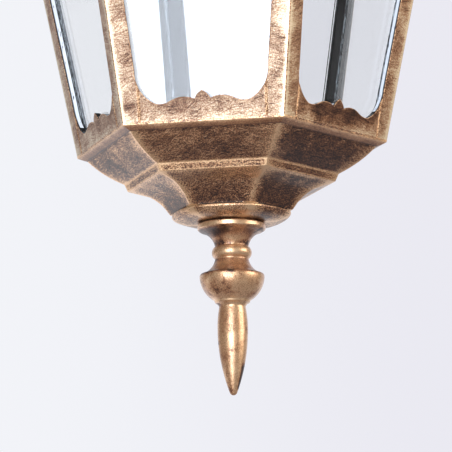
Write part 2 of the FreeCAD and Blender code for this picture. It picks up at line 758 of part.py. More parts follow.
# Seal, cap, loop, threaded tube and nut at the top of the roof.
seal_top = f"({roof_peak} + seal_thick)"
cap_top = f"({seal_top} + cap_tall)"
seal = washer("roof_seal", "tube_radius + fit_gap", "seal_radius", roof_peak, seal_top)
node(rest(seal, lantern), "roof_seal")
cap = turned("roof_cap", [
    (thread, seal_top),
    ("cap_radius", seal_top),
    ("cap_radius", f"{seal_top} + cap_rim"),
    ("cap_neck", f"{cap_top} - 3", "cap_curve", 1),
    ("cap_neck", cap_top),
    (thread, cap_top),
])
node(rest(cap, lantern), "roof_cap")
top_loop = hanging_loop("top_loop")
node(rest(top_loop, loop_foot), "top_loop")
nut_low = f"({roof_peak} - roof_wall - nut_thick)"
tube_low = f"({nut_low} - holder_neck_tall + fit_gap)"
hanger = washer("hanger_nipple", "tube_bore", "tube_radius", tube_low, f"{cap_top} + collar_thread - fit_gap")
node(rest(hanger, lantern), "hanger_nipple")
roof_nut = hex_nut("roof_nut", "nut_flats", "nut_thick", thread)
node(rest(roof_nut, f"{lantern} + {nut_low}"), "roof_nut")

# Lampholder: cap on the threaded tube, porcelain core, contact, screw sleeve, skirt.
holder_top = f"({nut_low} - fit_gap)"
dome_top = f"({holder_top} - holder_neck_tall)"
rim = f"({dome_top} - holder_dome)"
holder_cap = turned("lampholder_cap", [
    (thread, holder_top),
    (thread, f"{dome_top} - 0.4"),
    ("tube_radius - 0.5", f"{dome_top} - 0.4"),
    ("tube_radius - 0.5", f"{dome_top} - holder_wall - 0.4"),
    ("holder_radius - holder_wall", f"{rim} + holder_spigot + 1"),
    ("holder_radius - holder_wall", rim),
    ("holder_radius", rim),
    ("holder_radius", f"{rim} + holder_spigot + 2"),
    ("holder_neck", dome_top, "holder_dome + 2", -1),
    ("holder_neck", holder_top),
])
node(rest(holder_cap, lantern), "lampholder_cap")
shoulder = f"({rim} + holder_spigot - core_tall - 0.3)"
spigot = "(holder_radius - holder_wall - fit_gap)"
holder_skirt = turned("lampholder_skirt", [
    ("holder_mouth", f"{rim} - holder_skirt"),
    ("holder_mouth + 3", f"{rim} - holder_skirt"),
    ("holder_radius", f"{rim} - fit_gap"),
    (spigot, f"{rim} - fit_gap"),
    (spigot, f"{rim} + holder_spigot"),
    ("core_radius + fit_gap", f"{rim} + holder_spigot"),
    ("core_radius + fit_gap", shoulder),
    ("holder_mouth", shoulder),
])
node(rest(holder_skirt, lantern), "lampholder_skirt")
core = turned("lampholder_core", [
    ("contact_rivet + thread_gap", shoulder),
    ("core_radius", shoulder),
    ("core_radius", f"{shoulder} + core_tall"),
    ("contact_rivet + thread_gap", f"{shoulder} + core_tall"),
])
node(rest(core, lantern), "lampholder_core")
contact = turned("lampholder_contact", [
    ("0", f"{shoulder} - 1.4"),
    ("contact_radius - 1", f"{shoulder} - 1.4"),
    ("contact_radius", f"{shoulder} - 0.8"),
    ("contact_radius", shoulder),
    ("contact_rivet", shoulder),
    ("contact_rivet", f"{shoulder} + core_tall - 1"),
    ("0", f"{shoulder} + core_tall - 1"),
])
node(rest(contact, lantern), "lampholder_contact")
sleeve_out = "(holder_mouth - fit_gap)"
sleeve = turned("lampholder_sleeve", [
    ("contact_radius + 2", shoulder),
    ("contact_radius + 2", f"{shoulder} - sleeve_wall"),
    (f"{sleeve_out} - sleeve_wall", f"{shoulder} - sleeve_wall"),
    (f"{sleeve_out} - sleeve_wall", f"{shoulder} - sleeve_length"),
    (sleeve_out, f"{shoulder} - sleeve_length"),
    (sleeve_out, shoulder),
])
node(rest(sleeve, lantern), "lampholder_sleeve")
tip = f"({shoulder} - 1.4 - fit_gap)"
bulb_low = f"({tip} - bulb_length)"
bulb = turned("bulb", [
    ("0", bulb_low),
    ("bulb_radius * cos(20)", f"{bulb_low} + bulb_radius * (1 + sin(20))", "bulb_radius", -1),
    ("bulb_neck", f"{tip} - bulb_cap_length - 6", "3 * bulb_radius", 1),
    ("bulb_cap", f"{tip} - bulb_cap_length"),
    ("bulb_cap", f"{tip} - 4"),
    ("bulb_button", f"{tip} - 1"),
    ("bulb_button", tip),
    ("0", tip),
])
node(rest(bulb, lantern), "bulb")

doc.recompute()

# Every object must be sound before anything is written.
faults = []
for item in doc.Objects:
    if "Invalid" in item.State or "Error" in item.State:
        faults.append(f"{item.Label}: {item.State}")
for item in nodes:
    if item.Shape.isNull() or not item.Shape.isValid() or not item.Shape.Solids:
        faults.append(f"{item.Label}: no sound solid")
if faults:
    raise RuntimeError("; ".join(faults))

os.makedirs("parts", exist_ok=True)
for item in nodes:
    item.Shape.exportStep(f"parts/{item.Label}.step")
    box = item.Shape.BoundBox
    print(f"{item.Label}: {len(item.Shape.Solids)} solid, {item.Shape.Volume:.0f} mm3, "
          f"z {box.ZMin:.1f} to {box.ZMax:.1f}")
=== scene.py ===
# %% [markdown]
# # Outdoor hanging lantern
# A hexagonal cast lantern hangs on a short chain: a tiered cup and a turned finial below, leaning posts
# with scalloped rails and glass panes above, all painted black and rubbed with bronze. The frame brings
# every piece as a plain solid. This lesson models the pieces that show again with bmesh, gives each
# finish its own node material, and sets up a pale studio with the camera under the lantern.

# %% Load the frame
import json
import math

import bmesh
import bpy
from mathutils import Matrix, Vector


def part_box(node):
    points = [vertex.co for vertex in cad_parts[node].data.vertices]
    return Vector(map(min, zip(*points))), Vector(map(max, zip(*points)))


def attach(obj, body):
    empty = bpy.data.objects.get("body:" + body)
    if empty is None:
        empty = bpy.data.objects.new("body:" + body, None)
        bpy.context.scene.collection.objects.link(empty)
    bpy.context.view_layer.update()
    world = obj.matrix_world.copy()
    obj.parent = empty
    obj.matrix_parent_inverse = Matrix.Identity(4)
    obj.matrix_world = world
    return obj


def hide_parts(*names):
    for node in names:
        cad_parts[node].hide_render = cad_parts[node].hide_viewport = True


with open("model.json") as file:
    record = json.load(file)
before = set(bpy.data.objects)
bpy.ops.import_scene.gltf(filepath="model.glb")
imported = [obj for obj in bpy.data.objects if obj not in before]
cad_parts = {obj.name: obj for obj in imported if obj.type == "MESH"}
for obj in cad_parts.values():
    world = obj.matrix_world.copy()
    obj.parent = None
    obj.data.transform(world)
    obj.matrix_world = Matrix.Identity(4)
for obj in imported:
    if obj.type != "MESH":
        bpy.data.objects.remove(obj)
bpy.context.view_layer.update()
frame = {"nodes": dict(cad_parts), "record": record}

scene = bpy.context.scene
scene.view_settings.view_transform = "Standard"
MM = 0.001
nodes = frame["nodes"]
body_of = {}
for body, members in frame["record"]["behaviour"]["bodies"].items():
    body_of.update({node: body for node in members})

# %% [markdown]
# ## Where the lantern sits
# The frame is in metres with its origin on the ceiling. The lantern's own zero height is the lower edge
# of the flange, where the leaning sides meet the cup. The cup hangs a known depth under that edge, so the
# box of the cage gives the zero height, and every later height is counted from it in millimetres. The
# flat side of a hexagon is nearer to the axis than its corner, by the cosine of half a sixth of a turn.

# %% Zero height of the lantern
CUP_DROP = 29.4
SIXTH = math.radians(60)
FLAT, MITRE = math.cos(SIXTH / 2), math.tan(SIXTH / 2)
cage_low, cage_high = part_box("cage")
ZERO = cage_low.z + CUP_DROP * MM
SIDES_TALL = (cage_high.z - ZERO) / MM
print("flange at", round(ZERO, 4), "m, sides", round(SIDES_TALL, 1), "mm tall")

# %% [markdown]
# ## Outlines
# Castings and turnings are drawn as outlines of straight lines and arcs, as a pattern maker would draw
# them. An outline is a list of corners. A plain corner is joined by a line; a corner with a radius is
# joined by an arc, which bulges to the left of the way for a positive radius and to the right for a
# negative one. The arc's own points come from its centre, so the list holds only what the shape needs.

# %% Outline helper
ARC_STEPS = 8


def outline(corners, steps=ARC_STEPS):
    """Points of an outline, in millimetres, with its arcs broken into short lines."""
    points = [Vector(corners[0][:2])]
    for corner in corners[1:]:
        start, end = points[-1], Vector(corner[:2])
        if len(corner) == 3:
            radius, side = abs(corner[2]), math.copysign(1, corner[2])
            chord = end - start
            left = Vector((-chord.y, chord.x)).normalized()
            rise = math.sqrt(radius ** 2 - chord.length_squared / 4)
            centre = (start + end) / 2 - left * rise * side
            first = start - centre
            sweep = first.angle_signed(end - centre)
            for step in range(1, steps):
                points.append(centre + Matrix.Rotation(-sweep * step / steps, 2) @ first)
        points.append(end)
    return points


print("an arc has", ARC_STEPS, "steps")

# %% [markdown]
# ## From a bmesh to a piece
# A cast or turned piece has no knife edges: the metal shrinks in its mould, and paint rounds what is left.
# A narrow bevel on the sharp edges gives that and catches the light as the real edges do. Where two bevels
# run into each other they leave slivers without area, which are dissolved. Faces are shaded smooth up to a
# clear angle, and weighted normals keep flat faces flat beside the bevels. Each piece hides the solid it
# stands for and moves with that solid's body.

# %% Mesh helpers
SMOOTH_ANGLE, CLEAR_ANGLE = math.radians(32), math.radians(20)
SLIVER = 1e-6


def finished(name, bm, materials, node):
    """Turn a bmesh into a piece that stands for a CAD node and moves with its body."""
    for face in bm.faces:
        face.smooth = True
    for edge in bm.edges:
        if len(edge.link_faces) == 2:
            edge.smooth = edge.calc_face_angle() < SMOOTH_ANGLE
    mesh = bpy.data.meshes.new(name)
    bm.to_mesh(mesh)
    bm.free()
    for item in materials:
        mesh.materials.append(item)
    piece = bpy.data.objects.new(name, mesh)
    scene.collection.objects.link(piece)
    level = piece.modifiers.new("level_faces", "WEIGHTED_NORMAL")
    level.keep_sharp = True
    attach(piece, body_of[node])
    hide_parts(node)
    print(name, len(mesh.polygons), "faces")
    return piece


def sharp_edges(bm, angle=CLEAR_ANGLE):
    """Edges where two faces meet at a clear angle."""
    return [e for e in bm.edges if len(e.link_faces) == 2 and e.calc_face_angle() > angle]


def soften(bm, edges, width, segments=3):
    """Round edges by a width in millimetres, as casting and paint do."""
    bmesh.ops.bevel(bm, geom=edges, offset=width * MM, segments=segments, profile=0.5,
                    affect="EDGES", material=-1, clamp_overlap=True)
    bmesh.ops.dissolve_degenerate(bm, dist=SLIVER, edges=bm.edges[:])


# %% [markdown]
# ## Node helpers
# A material is a small net of nodes. Each node could be placed by hand in the shader editor. These helpers
# do the same in short lines and keep the net readable: one makes a node and fills its inputs, the others
# do arithmetic and mix colours.

# %% Node helpers
MIX_FACTOR, MIX_FIRST, MIX_SECOND, MIX_RESULT = 0, 6, 7, 2


class Net:
    """A node tree with short ways to add nodes."""

    def __init__(self, tree):
        self.tree = tree
        tree.nodes.clear()

    def add(self, kind, inputs=None, **settings):
        item = self.tree.nodes.new(kind)
        for key, value in settings.items():
            setattr(item, key, value)
        for key, value in (inputs or {}).items():
            if isinstance(value, bpy.types.NodeSocket):
                self.tree.links.new(value, item.inputs[key])
            else:
                item.inputs[key].default_value = value
        return item

    def surface(self, shader):
        """Join a shader to the output of the material."""
        self.add("ShaderNodeOutputMaterial", {"Surface": shader.outputs[0]})

    def math(self, operation, first, second=0.0, clamp=False):
        item = self.add("ShaderNodeMath", {0: first, 1: second}, operation=operation, use_clamp=clamp)
        return item.outputs[0]

    def dot(self, vector, way):
        item = self.add("ShaderNodeVectorMath", {0: vector, 1: way}, operation="DOT_PRODUCT")
        return item.outputs["Value"]

    def ramp(self, value, low, high, to_low=0.0, to_high=1.0, smooth=True):
        item = self.add("ShaderNodeMapRange", {"Value": value, "From Min": low, "From Max": high,
                                               "To Min": to_low, "To Max": to_high})
        item.interpolation_type = "SMOOTHSTEP" if smooth else "LINEAR"
        return item.outputs["Result"]

    def mix_colour(self, factor, first, second):
        inputs = {MIX_FACTOR: factor, MIX_FIRST: first, MIX_SECOND: second}
        return self.add("ShaderNodeMix", inputs, data_type="RGBA").outputs[MIX_RESULT]


print("node helpers:", ", ".join(key for key in vars(Net) if not key.startswith("_")))

# %% [markdown]
# ## Pattern helpers
# Paint on a real casting is never even. Noise can be fine, like grain, or be stretched along a direction,
# which looks like brush strokes or chips along an edge. All patterns read Object coordinates. The pieces
# sit at the origin, so these are metres in the frame, and no piece has to be unwrapped.

# %% Pattern helpers


class PatternNet(Net):
    """A net with the patterns of a finish."""

    def position(self):
        return self.add("ShaderNodeTexCoord").outputs["Object"]

    def bump(self, height, strength, distance=0.1):
        """A bent normal: dents of a depth in millimetres."""
        return self.add("ShaderNodeBump", {"Height": height, "Strength": strength,
                                           "Distance": distance * MM}).outputs[0]

    def grain(self, size, vector, detail=3.0, rough=0.6):
        """Even noise with grains of a size in millimetres."""
        item = self.add("ShaderNodeTexNoise", {"Vector": vector, "Scale": 1 / (size * MM), "Detail": detail,
                                               "Roughness": rough})
        return item.outputs["Fac"]

    def strokes(self, vector, length, width, turn):
        """Noise drawn out along one direction, as a dry brush or a wire pad leaves it."""
        laid = self.add("ShaderNodeMapping", {"Vector": vector, "Rotation": (0, 0, math.radians(turn)),
                                              "Scale": (length * MM, width * MM, 1)}, vector_type="TEXTURE")
        item = self.add("ShaderNodeTexNoise", {"Vector": laid.outputs[0], "Scale": 1.0, "Detail": 3.0,
                                               "Roughness": 0.6}, noise_dimensions="2D")
        return item.outputs["Fac"]

    def upright_chips(self, width, length):
        """Noise drawn out upwards, as paint chips along an edge."""
        drawn = self.add("ShaderNodeMapping", {"Vector": self.position(),
                                               "Scale": (width * MM, width * MM, length * MM)},
                         vector_type="TEXTURE")
        item = self.add("ShaderNodeTexNoise", {"Vector": drawn.outputs[0], "Scale": 1.0, "Detail": 3.0})
        return item.outputs["Fac"]


def material(name):
    """A new material with an empty net."""
    made = bpy.data.materials.new(name)
    made.use_nodes = True
    return made, PatternNet(made.node_tree)


print("pattern helpers:", ", ".join(key for key in vars(PatternNet) if not key.startswith("_")))

# %% [markdown]
# ## Rubbed bronze
# The castings are black-brown, bronze paint is rubbed over them with a nearly dry pad, and clear lacquer
# covers both. The bronze takes on the ridges and lips and leaves the middles of the facets dark, with fine
# hair strokes in between. Painting that by hand on a texture would need an unwrapped mesh. Here the
# material works out how much bronze a spot keeps, as a share from 0 to 1. For that it has to know where
# the spot lies on the hexagon: its angle about the axis, its height and its distance from a ridge.

# %% Where a spot lies on the hexagon
GIRTH_RADIUS, SLOPE_SHARE = 45, 0.5
WAVE, WAVE_DRIFT = 10, 4


def around_axis(net, place):
    """Angle, reach and height of a spot about the lamp's axis."""
    split = net.add("ShaderNodeSeparateXYZ", {0: place})
    x, y, z = split.outputs["X"], split.outputs["Y"], split.outputs["Z"]
    reach = net.math("SQRT", net.math("ADD", net.math("MULTIPLY", x, x), net.math("MULTIPLY", y, y)))
    return net.math("ARCTAN2", y, x), reach, z


def square_to_side(net, angle, reach):
    """Distances of a spot from the axis, square to its side and along it, in metres."""
    off = net.math("SUBTRACT", net.math("FLOORED_MODULO", angle, SIXTH), SIXTH / 2)
    return (net.math("MULTIPLY", reach, net.math("COSINE", off)),
            net.math("MULTIPLY", reach, net.math("SINE", off)))


def ridge_gap(net, angle, reach):
    """Distance to the nearest ridge of the hexagon, in metres."""
    out, along = square_to_side(net, angle, reach)
    return net.math("SUBTRACT", net.math("MULTIPLY", out, MITRE), net.math("ABSOLUTE", along))


def unrolled(net, angle, reach, height):
    """The surface laid flat: arc length across, slope length up, both a little wavy."""
    girth = net.math("MULTIPLY", angle, GIRTH_RADIUS * MM)
    slope = net.math("ADD", height, net.math("MULTIPLY", reach, SLOPE_SHARE))
    flat = net.add("ShaderNodeCombineXYZ", {"X": girth, "Y": slope}).outputs[0]
    wave = net.add("ShaderNodeTexNoise", {"Vector": flat, "Scale": 1 / (WAVE * MM), "Detail": 1.0})
    drift = net.add("ShaderNodeVectorMath", {0: wave.outputs["Color"], 3: WAVE_DRIFT * MM},
                    operation="SCALE")
    return net.add("ShaderNodeVectorMath", {0: flat, 1: drift.outputs[0]}, operation="ADD").outputs[0]


print("ridges at", [round(math.degrees(SIXTH * corner)) for corner in range(6)], "degrees")

# %% [markdown]
# ## Tones of the bronze
# Thin bronze over black looks brown, thick bronze looks straw-coloured. A colour ramp turns the share into
# these tones. The cup and the finial have a warm bronze. On the sides the pad left more of it, and the
# sides have a paler ramp of their own above the same dark paint: its creamy top is partly a painted
# sheen, the light that the lit front of the lamp takes on.

# %% Tones of the bronze
DARK_PAINT = ((0.0, (0.016, 0.009, 0.007)), (0.25, (0.090, 0.036, 0.019)))
WARM_BRONZE = ((0.5, (0.280, 0.118, 0.054)), (0.75, (0.57, 0.285, 0.136)), (1.0, (0.92, 0.600, 0.335)))
# The cream at the top of the sides' ramp is partly a painted sheen of the lit front.
PALE_BRONZE = ((0.5, (0.272, 0.120, 0.056)), (0.75, (0.50, 0.310, 0.170)), (1.0, (0.72, 0.590, 0.400)))


def tones(net, share, stops):
    """Colours laid along a share from 0 to 1."""
    item = net.add("ShaderNodeValToRGB", {"Fac": share})
    elements = item.color_ramp.elements
    for spot, (at, colour) in enumerate(stops):
        stop = elements[spot] if spot < 2 else elements.new(at)
        stop.position = at
        stop.color = (*colour, 1)
    return item.outputs["Color"]


print("tones from paint to bronze:", len(DARK_PAINT + WARM_BRONZE))

# %% [markdown]
# ## Where the bronze stays
# The share starts from a curve over the height, which gives the lips and bands; a grey colour ramp serves
# as that curve. Along the ridges of the hexagon the share gains a glow of uneven reach, since a pad rests
# on the ridges first, and a narrow line, which is partly that bronze and partly a painted highlight.

# %% Bronze by height and along the ridges
RIDGE_GRAIN, RIDGE_WANDER, RIDGE_FALL = 11, (0.4, 1.5), 1.8
RIDGE_HIGHLIGHT, RIDGE_HIGHLIGHT_SHARE = (0.6, 1.7), 0.3


def by_height(net, z, zero, heights):
    """Share of bronze from pairs of a height in millimetres over zero and a share."""
    low, high = heights[0][0], heights[-1][0]
    along = net.ramp(z, zero + low * MM, zero + high * MM, smooth=False)
    return tones(net, along, [((level - low) / (high - low), (share,) * 3) for level, share in heights])


def on_ridges(net, place, angle, reach, amount, reach_out):
    """Bronze along the ridges: a glow that reaches out unevenly, and a narrow line that is partly a painted
    highlight.
    """
    gap = ridge_gap(net, angle, reach)
    near, far = (reach_out * part * MM for part in RIDGE_WANDER)
    wander = net.ramp(net.grain(RIDGE_GRAIN, place, 2.0), 0.3, 0.7, near, far)
    glow = net.math("SUBTRACT", 1.0, net.math("DIVIDE", gap, wander), clamp=True)
    glow = net.math("MULTIPLY", net.math("POWER", glow, RIDGE_FALL), amount)
    # A narrow line beside each ridge: rubbed bronze, and partly a painted highlight.
    line = net.ramp(gap, RIDGE_HIGHLIGHT[0] * MM, RIDGE_HIGHLIGHT[1] * MM, RIDGE_HIGHLIGHT_SHARE, 0.0)
    return net.math("ADD", glow, line)


print("the line beside a ridge fades out at", RIDGE_HIGHLIGHT[1], "mm")

# %% [markdown]
# ## Where the share drops
# The share loses some on one side of the lamp, which is painted shade, in worn spots, and in a dark patch.
# Each is a mask that is subtracted. Where the bronze is thick, the painted shade and the worn spots take
# away less.

# %% Bronze that is missing
# Directions of the painted shade: the right-hand side of the cup and the sides, and the left of the finial.
SHADE_RIGHT, SHADE_LEFT = (math.radians(-30), 0.86), (math.radians(220), 0.1)
FULLY_ASIDE = 0.98
WORN_SPOT = 7
PATCH_FADE_LOW, PATCH_FADE_HIGH = 3, 4


def painted_side_shade(net, share, angle, amount, where):
    """Painted shade: less bronze on one side of the lamp. where is its direction and the cosine at which it
    starts.
    """
    way_to, start = where
    aside = net.math("COSINE", net.math("SUBTRACT", angle, way_to))
    less = net.math("MULTIPLY", net.ramp(aside, start, FULLY_ASIDE, 0.0, amount),
                    net.ramp(share, 0.5, 0.9, 1.0, 0.2))
    return net.math("SUBTRACT", share, less)


def worn_spots(net, share, place, amount):
    """Spots where the bronze has come off, weaker where it is thick."""
    worn = net.ramp(net.grain(WORN_SPOT, place, 6.0, 0.75), 0.52, 0.64, 0.0, amount)
    worn = net.math("MULTIPLY", worn, net.ramp(share, 0.75, 0.95, 1.0, 0.4))
    return net.math("SUBTRACT", share, worn)


def dark_patch(net, share, angle, z, zero, patch):
    """A dark patch. patch is its direction, and its foot and head in millimetres over zero."""
    way_to, foot, head = patch
    beside = net.ramp(net.math("COSINE", net.math("SUBTRACT", angle, way_to)), 0.8, 0.95)
    from_foot = net.ramp(z, zero + foot * MM, zero + (foot + PATCH_FADE_LOW) * MM)
    to_head = net.ramp(z, zero + (head - PATCH_FADE_HIGH) * MM, zero + head * MM, 1.0, 0.0)
    darkened = net.math("MULTIPLY", beside, net.math("MULTIPLY", from_foot, to_head))
    return net.math("SUBTRACT", share, darkened)


print("less bronze towards", [round(math.degrees(side[0])) for side in (SHADE_RIGHT, SHADE_LEFT)])

# %% [markdown]
# ## Strokes and specks
# A nearly dry pad leaves hair strokes that cross each other, and the rough casting leaves fine specks.
# Three layers of drawn-out noise are laid over each other at different turns, and the brightest counts.

# %% Strokes and specks
STROKE_TURNS, STROKE_LONG, STROKE_WIDE = (4, -20, 34), 7.0, 0.22


def broken_up(net, share, flat, speck, hair, speckle):
    """The share with hair strokes and specks, which are weaker on the bare paint."""
    first, second, third = [net.strokes(flat, STROKE_LONG, STROKE_WIDE, turn) for turn in STROKE_TURNS]
    top = net.math("MAXIMUM", net.math("MAXIMUM", first, second), third)
    hairs = net.math("MULTIPLY", net.ramp(top, 0.5, 0.75, -hair / 3, hair),
                     net.ramp(share, 0.0, 0.25, 0.6, 1.0))
    specks = net.math("MULTIPLY", net.ramp(speck, 0.4, 0.6, -speckle, speckle),
                      net.ramp(share, 0.0, 0.6, 0.7, 1.0))
    return net.math("ADD", net.math("ADD", share, hairs), specks, clamp=True)


print("strokes:", len(STROKE_TURNS), "layers,", STROKE_LONG, "mm long")

# %% [markdown]
# ## The finish put together
# Soft clouds, strokes and specks break the share up, and a least share keeps the strokes visible on the
# darkest facets. Bronze paint is only partly a metal: many of its flakes lie askew, so it shines like a
# plain colour with some metal in it. The lacquer is a coat that is thicker over the bronze than over the
# bare paint, and the strokes stand out a little, as dried paint does.

# %% Bronze material
CLOUD, SPECK, LEAST, GLOSS_RANGE = 10, 0.46, 0.08, 0.08


def rubbed_bronze(name, zero, heights, ridge=0.0, reach_out=8.0, patch=0.2, speckle=0.3, hair=0.3,
                  spots=0.0, side_shade=0.0, side_shade_where=SHADE_RIGHT, darkened=None, gloss=0.34, under=0.2,
                  lacquer=0.3, metal=0.85, bronze=WARM_BRONZE, shine=0.3):
    """Black-brown casting with rubbed bronze.

    heights pairs millimetres over zero with a share of bronze. ridge and reach_out add bronze along the
    ridges, with a line that is partly a painted highlight. patch, speckle, hair and spots break it up.
    side_shade takes some away on the side that side_shade_where gives, as painted shade, and darkened
    darkens a patch. under and lacquer are the coat over paint and over bronze, metal is the metal in full
    bronze, gloss its roughness, and shine the reflection under the coat.
    """
    made, net = material(name)
    place = net.position()
    angle, reach, z = around_axis(net, place)
    share = by_height(net, z, zero, heights)
    if ridge:
        share = net.math("ADD", share, on_ridges(net, place, angle, reach, ridge, reach_out))
    clouds = net.ramp(net.grain(CLOUD, place, 4.0, 0.65), 0.32, 0.68, -patch, patch, smooth=False)
    share = net.math("ADD", share, clouds)
    if side_shade:
        share = painted_side_shade(net, share, angle, side_shade, side_shade_where)
    if spots:
        share = worn_spots(net, share, place, spots)
    if darkened:
        share = dark_patch(net, share, angle, z, zero, darkened)
    share = net.math("MAXIMUM", share, LEAST)
    speck = net.grain(SPECK, place, 2.0, 0.55)
    rubbed = broken_up(net, share, unrolled(net, angle, reach, z), speck, hair, speckle)
    net.surface(net.add("ShaderNodeBsdfPrincipled", {
        "Base Color": tones(net, rubbed, DARK_PAINT + bronze),
        "Metallic": net.ramp(rubbed, 0.35, 0.9, 0.0, metal),
        "Roughness": net.ramp(speck, 0.3, 0.7, gloss, gloss + GLOSS_RANGE, smooth=False),
        "Normal": net.bump(rubbed, 0.12),
        "Specular IOR Level": shine,
        "Coat Weight": net.ramp(rubbed, 0.3, 0.8, under, lacquer),
        "Coat Roughness": 0.2,
    }))
    print(name, len(made.node_tree.nodes), "nodes")
    return made


# %% [markdown]
# ## Black inside
# The inner faces of the posts, the cup and the roof are only painted, with a glossy black, and look black
# through the glass. Two close tones and a faint grain keep the paint from looking like a hole.

# %% Black paint
PAINT_GRAIN = 0.8
TONE_FROM, TONE_TO = 0.35, 0.65
BLACK_DEEP, BLACK_WORN = (0.006, 0.0055, 0.006, 1), (0.014, 0.013, 0.013, 1)
inside_black, net = material("inside_black")
grain = net.grain(PAINT_GRAIN, net.position())
paint = net.mix_colour(net.ramp(grain, TONE_FROM, TONE_TO), BLACK_DEEP, BLACK_WORN)
net.surface(net.add("ShaderNodeBsdfPrincipled", {"Base Color": paint, "Roughness": 0.18,
                                                 "Normal": net.bump(grain, 0.05)}))
print(inside_black.name, len(inside_black.node_tree.nodes), "nodes")

# %% [markdown]
# ## The section of the cup
# The cup is a casting whose every level section is a hexagon: a tier under the flange, a band, a cove and a
# foot. Its sizes are given as reach over the corners, times FLAT for the reach over the flat sides, and as
# drop under the zero height. The outline runs up outside, from the hole in the foot to the lip, and down
# inside at about the thickness of the wall.

# %% Section of the cup
FLANGE_CORNER = 62.5
FLANGE_FLAT = FLANGE_CORNER * FLAT
PLATE = 2.65
CUP_WALL, CUP_FLOOR, STUD_HOLE = 2.6, 2.8, 3.2
TIER_FLAT, TIER_DROP = 58.3 * FLAT, 1.5
BAND_FLAT, BAND_DROP = 43.3 * FLAT, 11.6
BAND_FOOT_FLAT, BAND_FOOT_DROP = 41.9 * FLAT, 14.6
COVE_FLAT, COVE_DROP = 33.2 * FLAT, 17.2
NECK_FLAT, NECK_DROP = 24.9 * FLAT, 25.0
SHOULDER_FLAT, SHOULDER_DROP = 27.2 * FLAT, 25.4
FOOT_FLAT, FOOT_DROP = 27.6 * FLAT, 26.5
KNEE_FLAT, KNEE_DROP = 25.0 * FLAT, 28.3
SEAT_FLAT = 17.9 * FLAT
LEDGE, LIP = 0.6, 0.9
LEAN = 0.212
SIDE_LEAN = LEAN * FLAT
LIP_FLAT = FLANGE_FLAT + SIDE_LEAN * LIP
TIER_INSIDE = TIER_FLAT - CUP_WALL - 0.4
cup_section = outline([
    (STUD_HOLE, -CUP_DROP),
    (SEAT_FLAT, -CUP_DROP),
    (KNEE_FLAT, -KNEE_DROP, -17.7),
    (FOOT_FLAT, -FOOT_DROP, -4.2),
    (SHOULDER_FLAT, -SHOULDER_DROP, -1.2),
    (NECK_FLAT, -NECK_DROP),
    (COVE_FLAT, -COVE_DROP, 18),
    (BAND_FOOT_FLAT, -BAND_FOOT_DROP),
    (BAND_FLAT, -BAND_DROP),
    (TIER_FLAT, -TIER_DROP, -42),
    (FLANGE_FLAT, 0),
    (LIP_FLAT, LIP),
    (LIP_FLAT - PLATE, LIP),
    (FLANGE_FLAT - PLATE, LEDGE),
    (TIER_INSIDE, LEDGE),
    (TIER_INSIDE, -TIER_DROP + 0.8),
    (BAND_FLAT - CUP_WALL + 1.2, -BAND_DROP + CUP_WALL - 0.7),
    (BAND_FOOT_FLAT - CUP_WALL + 0.4, -BAND_FOOT_DROP + CUP_WALL - 0.4),
    (COVE_FLAT - CUP_WALL, -COVE_DROP + CUP_WALL - 0.2),
    (NECK_FLAT - CUP_WALL + 0.3, -NECK_DROP + 1.5, -14.6),
    (NECK_FLAT - CUP_WALL, -CUP_DROP + CUP_FLOOR),
    (STUD_HOLE, -CUP_DROP + CUP_FLOOR),
])
print("cup section:", len(cup_section), "points")

# %% [markdown]
# ## Finish of the cup
# The bronze of the cup is bright on the edge of the flange, on both edges of the band and on the shoulder
# of the foot. It is thin on the tiers and nearly missing in the narrow part of the cove. The curve names
# the drop of each of these places. The narrow face under the flange is dark near the tier and bright at
# its edge, in a plainer bronze with little metal in it.

# %% Finish of the cup
CUP_BRONZE = [(-drop, share) for drop, share in (
    (CUP_DROP, 0.5), (KNEE_DROP + 0.1, 0.62), (FOOT_DROP + 0.1, 0.64),
    (SHOULDER_DROP + 0.3, 0.78), (SHOULDER_DROP, 1.1), (NECK_DROP + 0.15, 0.6),
    (NECK_DROP, 0.04), (NECK_DROP - 1.4, 0.04), (NECK_DROP - 3.2, 0.16),
    (COVE_DROP + 1.8, 0.3), (COVE_DROP, 0.42),
    (BAND_FOOT_DROP + 0.8, 0.5), (BAND_FOOT_DROP + 0.3, 0.9),
    (BAND_FOOT_DROP - 0.3, 0.95), (BAND_FOOT_DROP - 0.6, 0.48),
    (BAND_DROP + 0.8, 0.52), (BAND_DROP + 0.5, 1.0), (BAND_DROP, 1.05), (BAND_DROP - 0.4, 0.36),
    (BAND_DROP - 2.6, 0.26), (TIER_DROP + 3.5, 0.28), (TIER_DROP + 0.9, 0.38),
    (TIER_DROP + 0.3, 0.2), (TIER_DROP, 0.3), (0.05, 1.1), (-0.1, 1.0), (-0.3, 0.6), (-1.0, 0.6),
)]
LIP_BRONZE = [(-1.6, 0.2), (-1.4, 0.25), (-1.2, 0.5), (-0.6, 0.6), (-0.25, 0.8), (0.2, 1.0)]
# The share drop on the right-hand facets is painted shade.
cup_bronze = rubbed_bronze("cup_bronze", ZERO, CUP_BRONZE, ridge=0.55, reach_out=7.0, patch=0.2,
                           speckle=0.34, hair=0.6, side_shade=0.28, under=0.22, lacquer=0.4)
lip_bronze = rubbed_bronze("lip_bronze", ZERO, LIP_BRONZE, patch=0.12, speckle=0.15, hair=0.1, metal=0.15)

# %% [markdown]
# ## Spinning a section
# A lathe makes a round piece by turning it against one outline, and the spin operator does the same. A
# hexagonal piece can be made from six flat wedges, but the seams would have to be joined. Here it is spun
# round as well, in steps that meet the corners, and the points between the corners are drawn in to the
# flat sides. A round limit can be blended in, so that the corners melt away.

# %% Spin helpers
MERGE_NEAR = 1e-7
MELT = 12


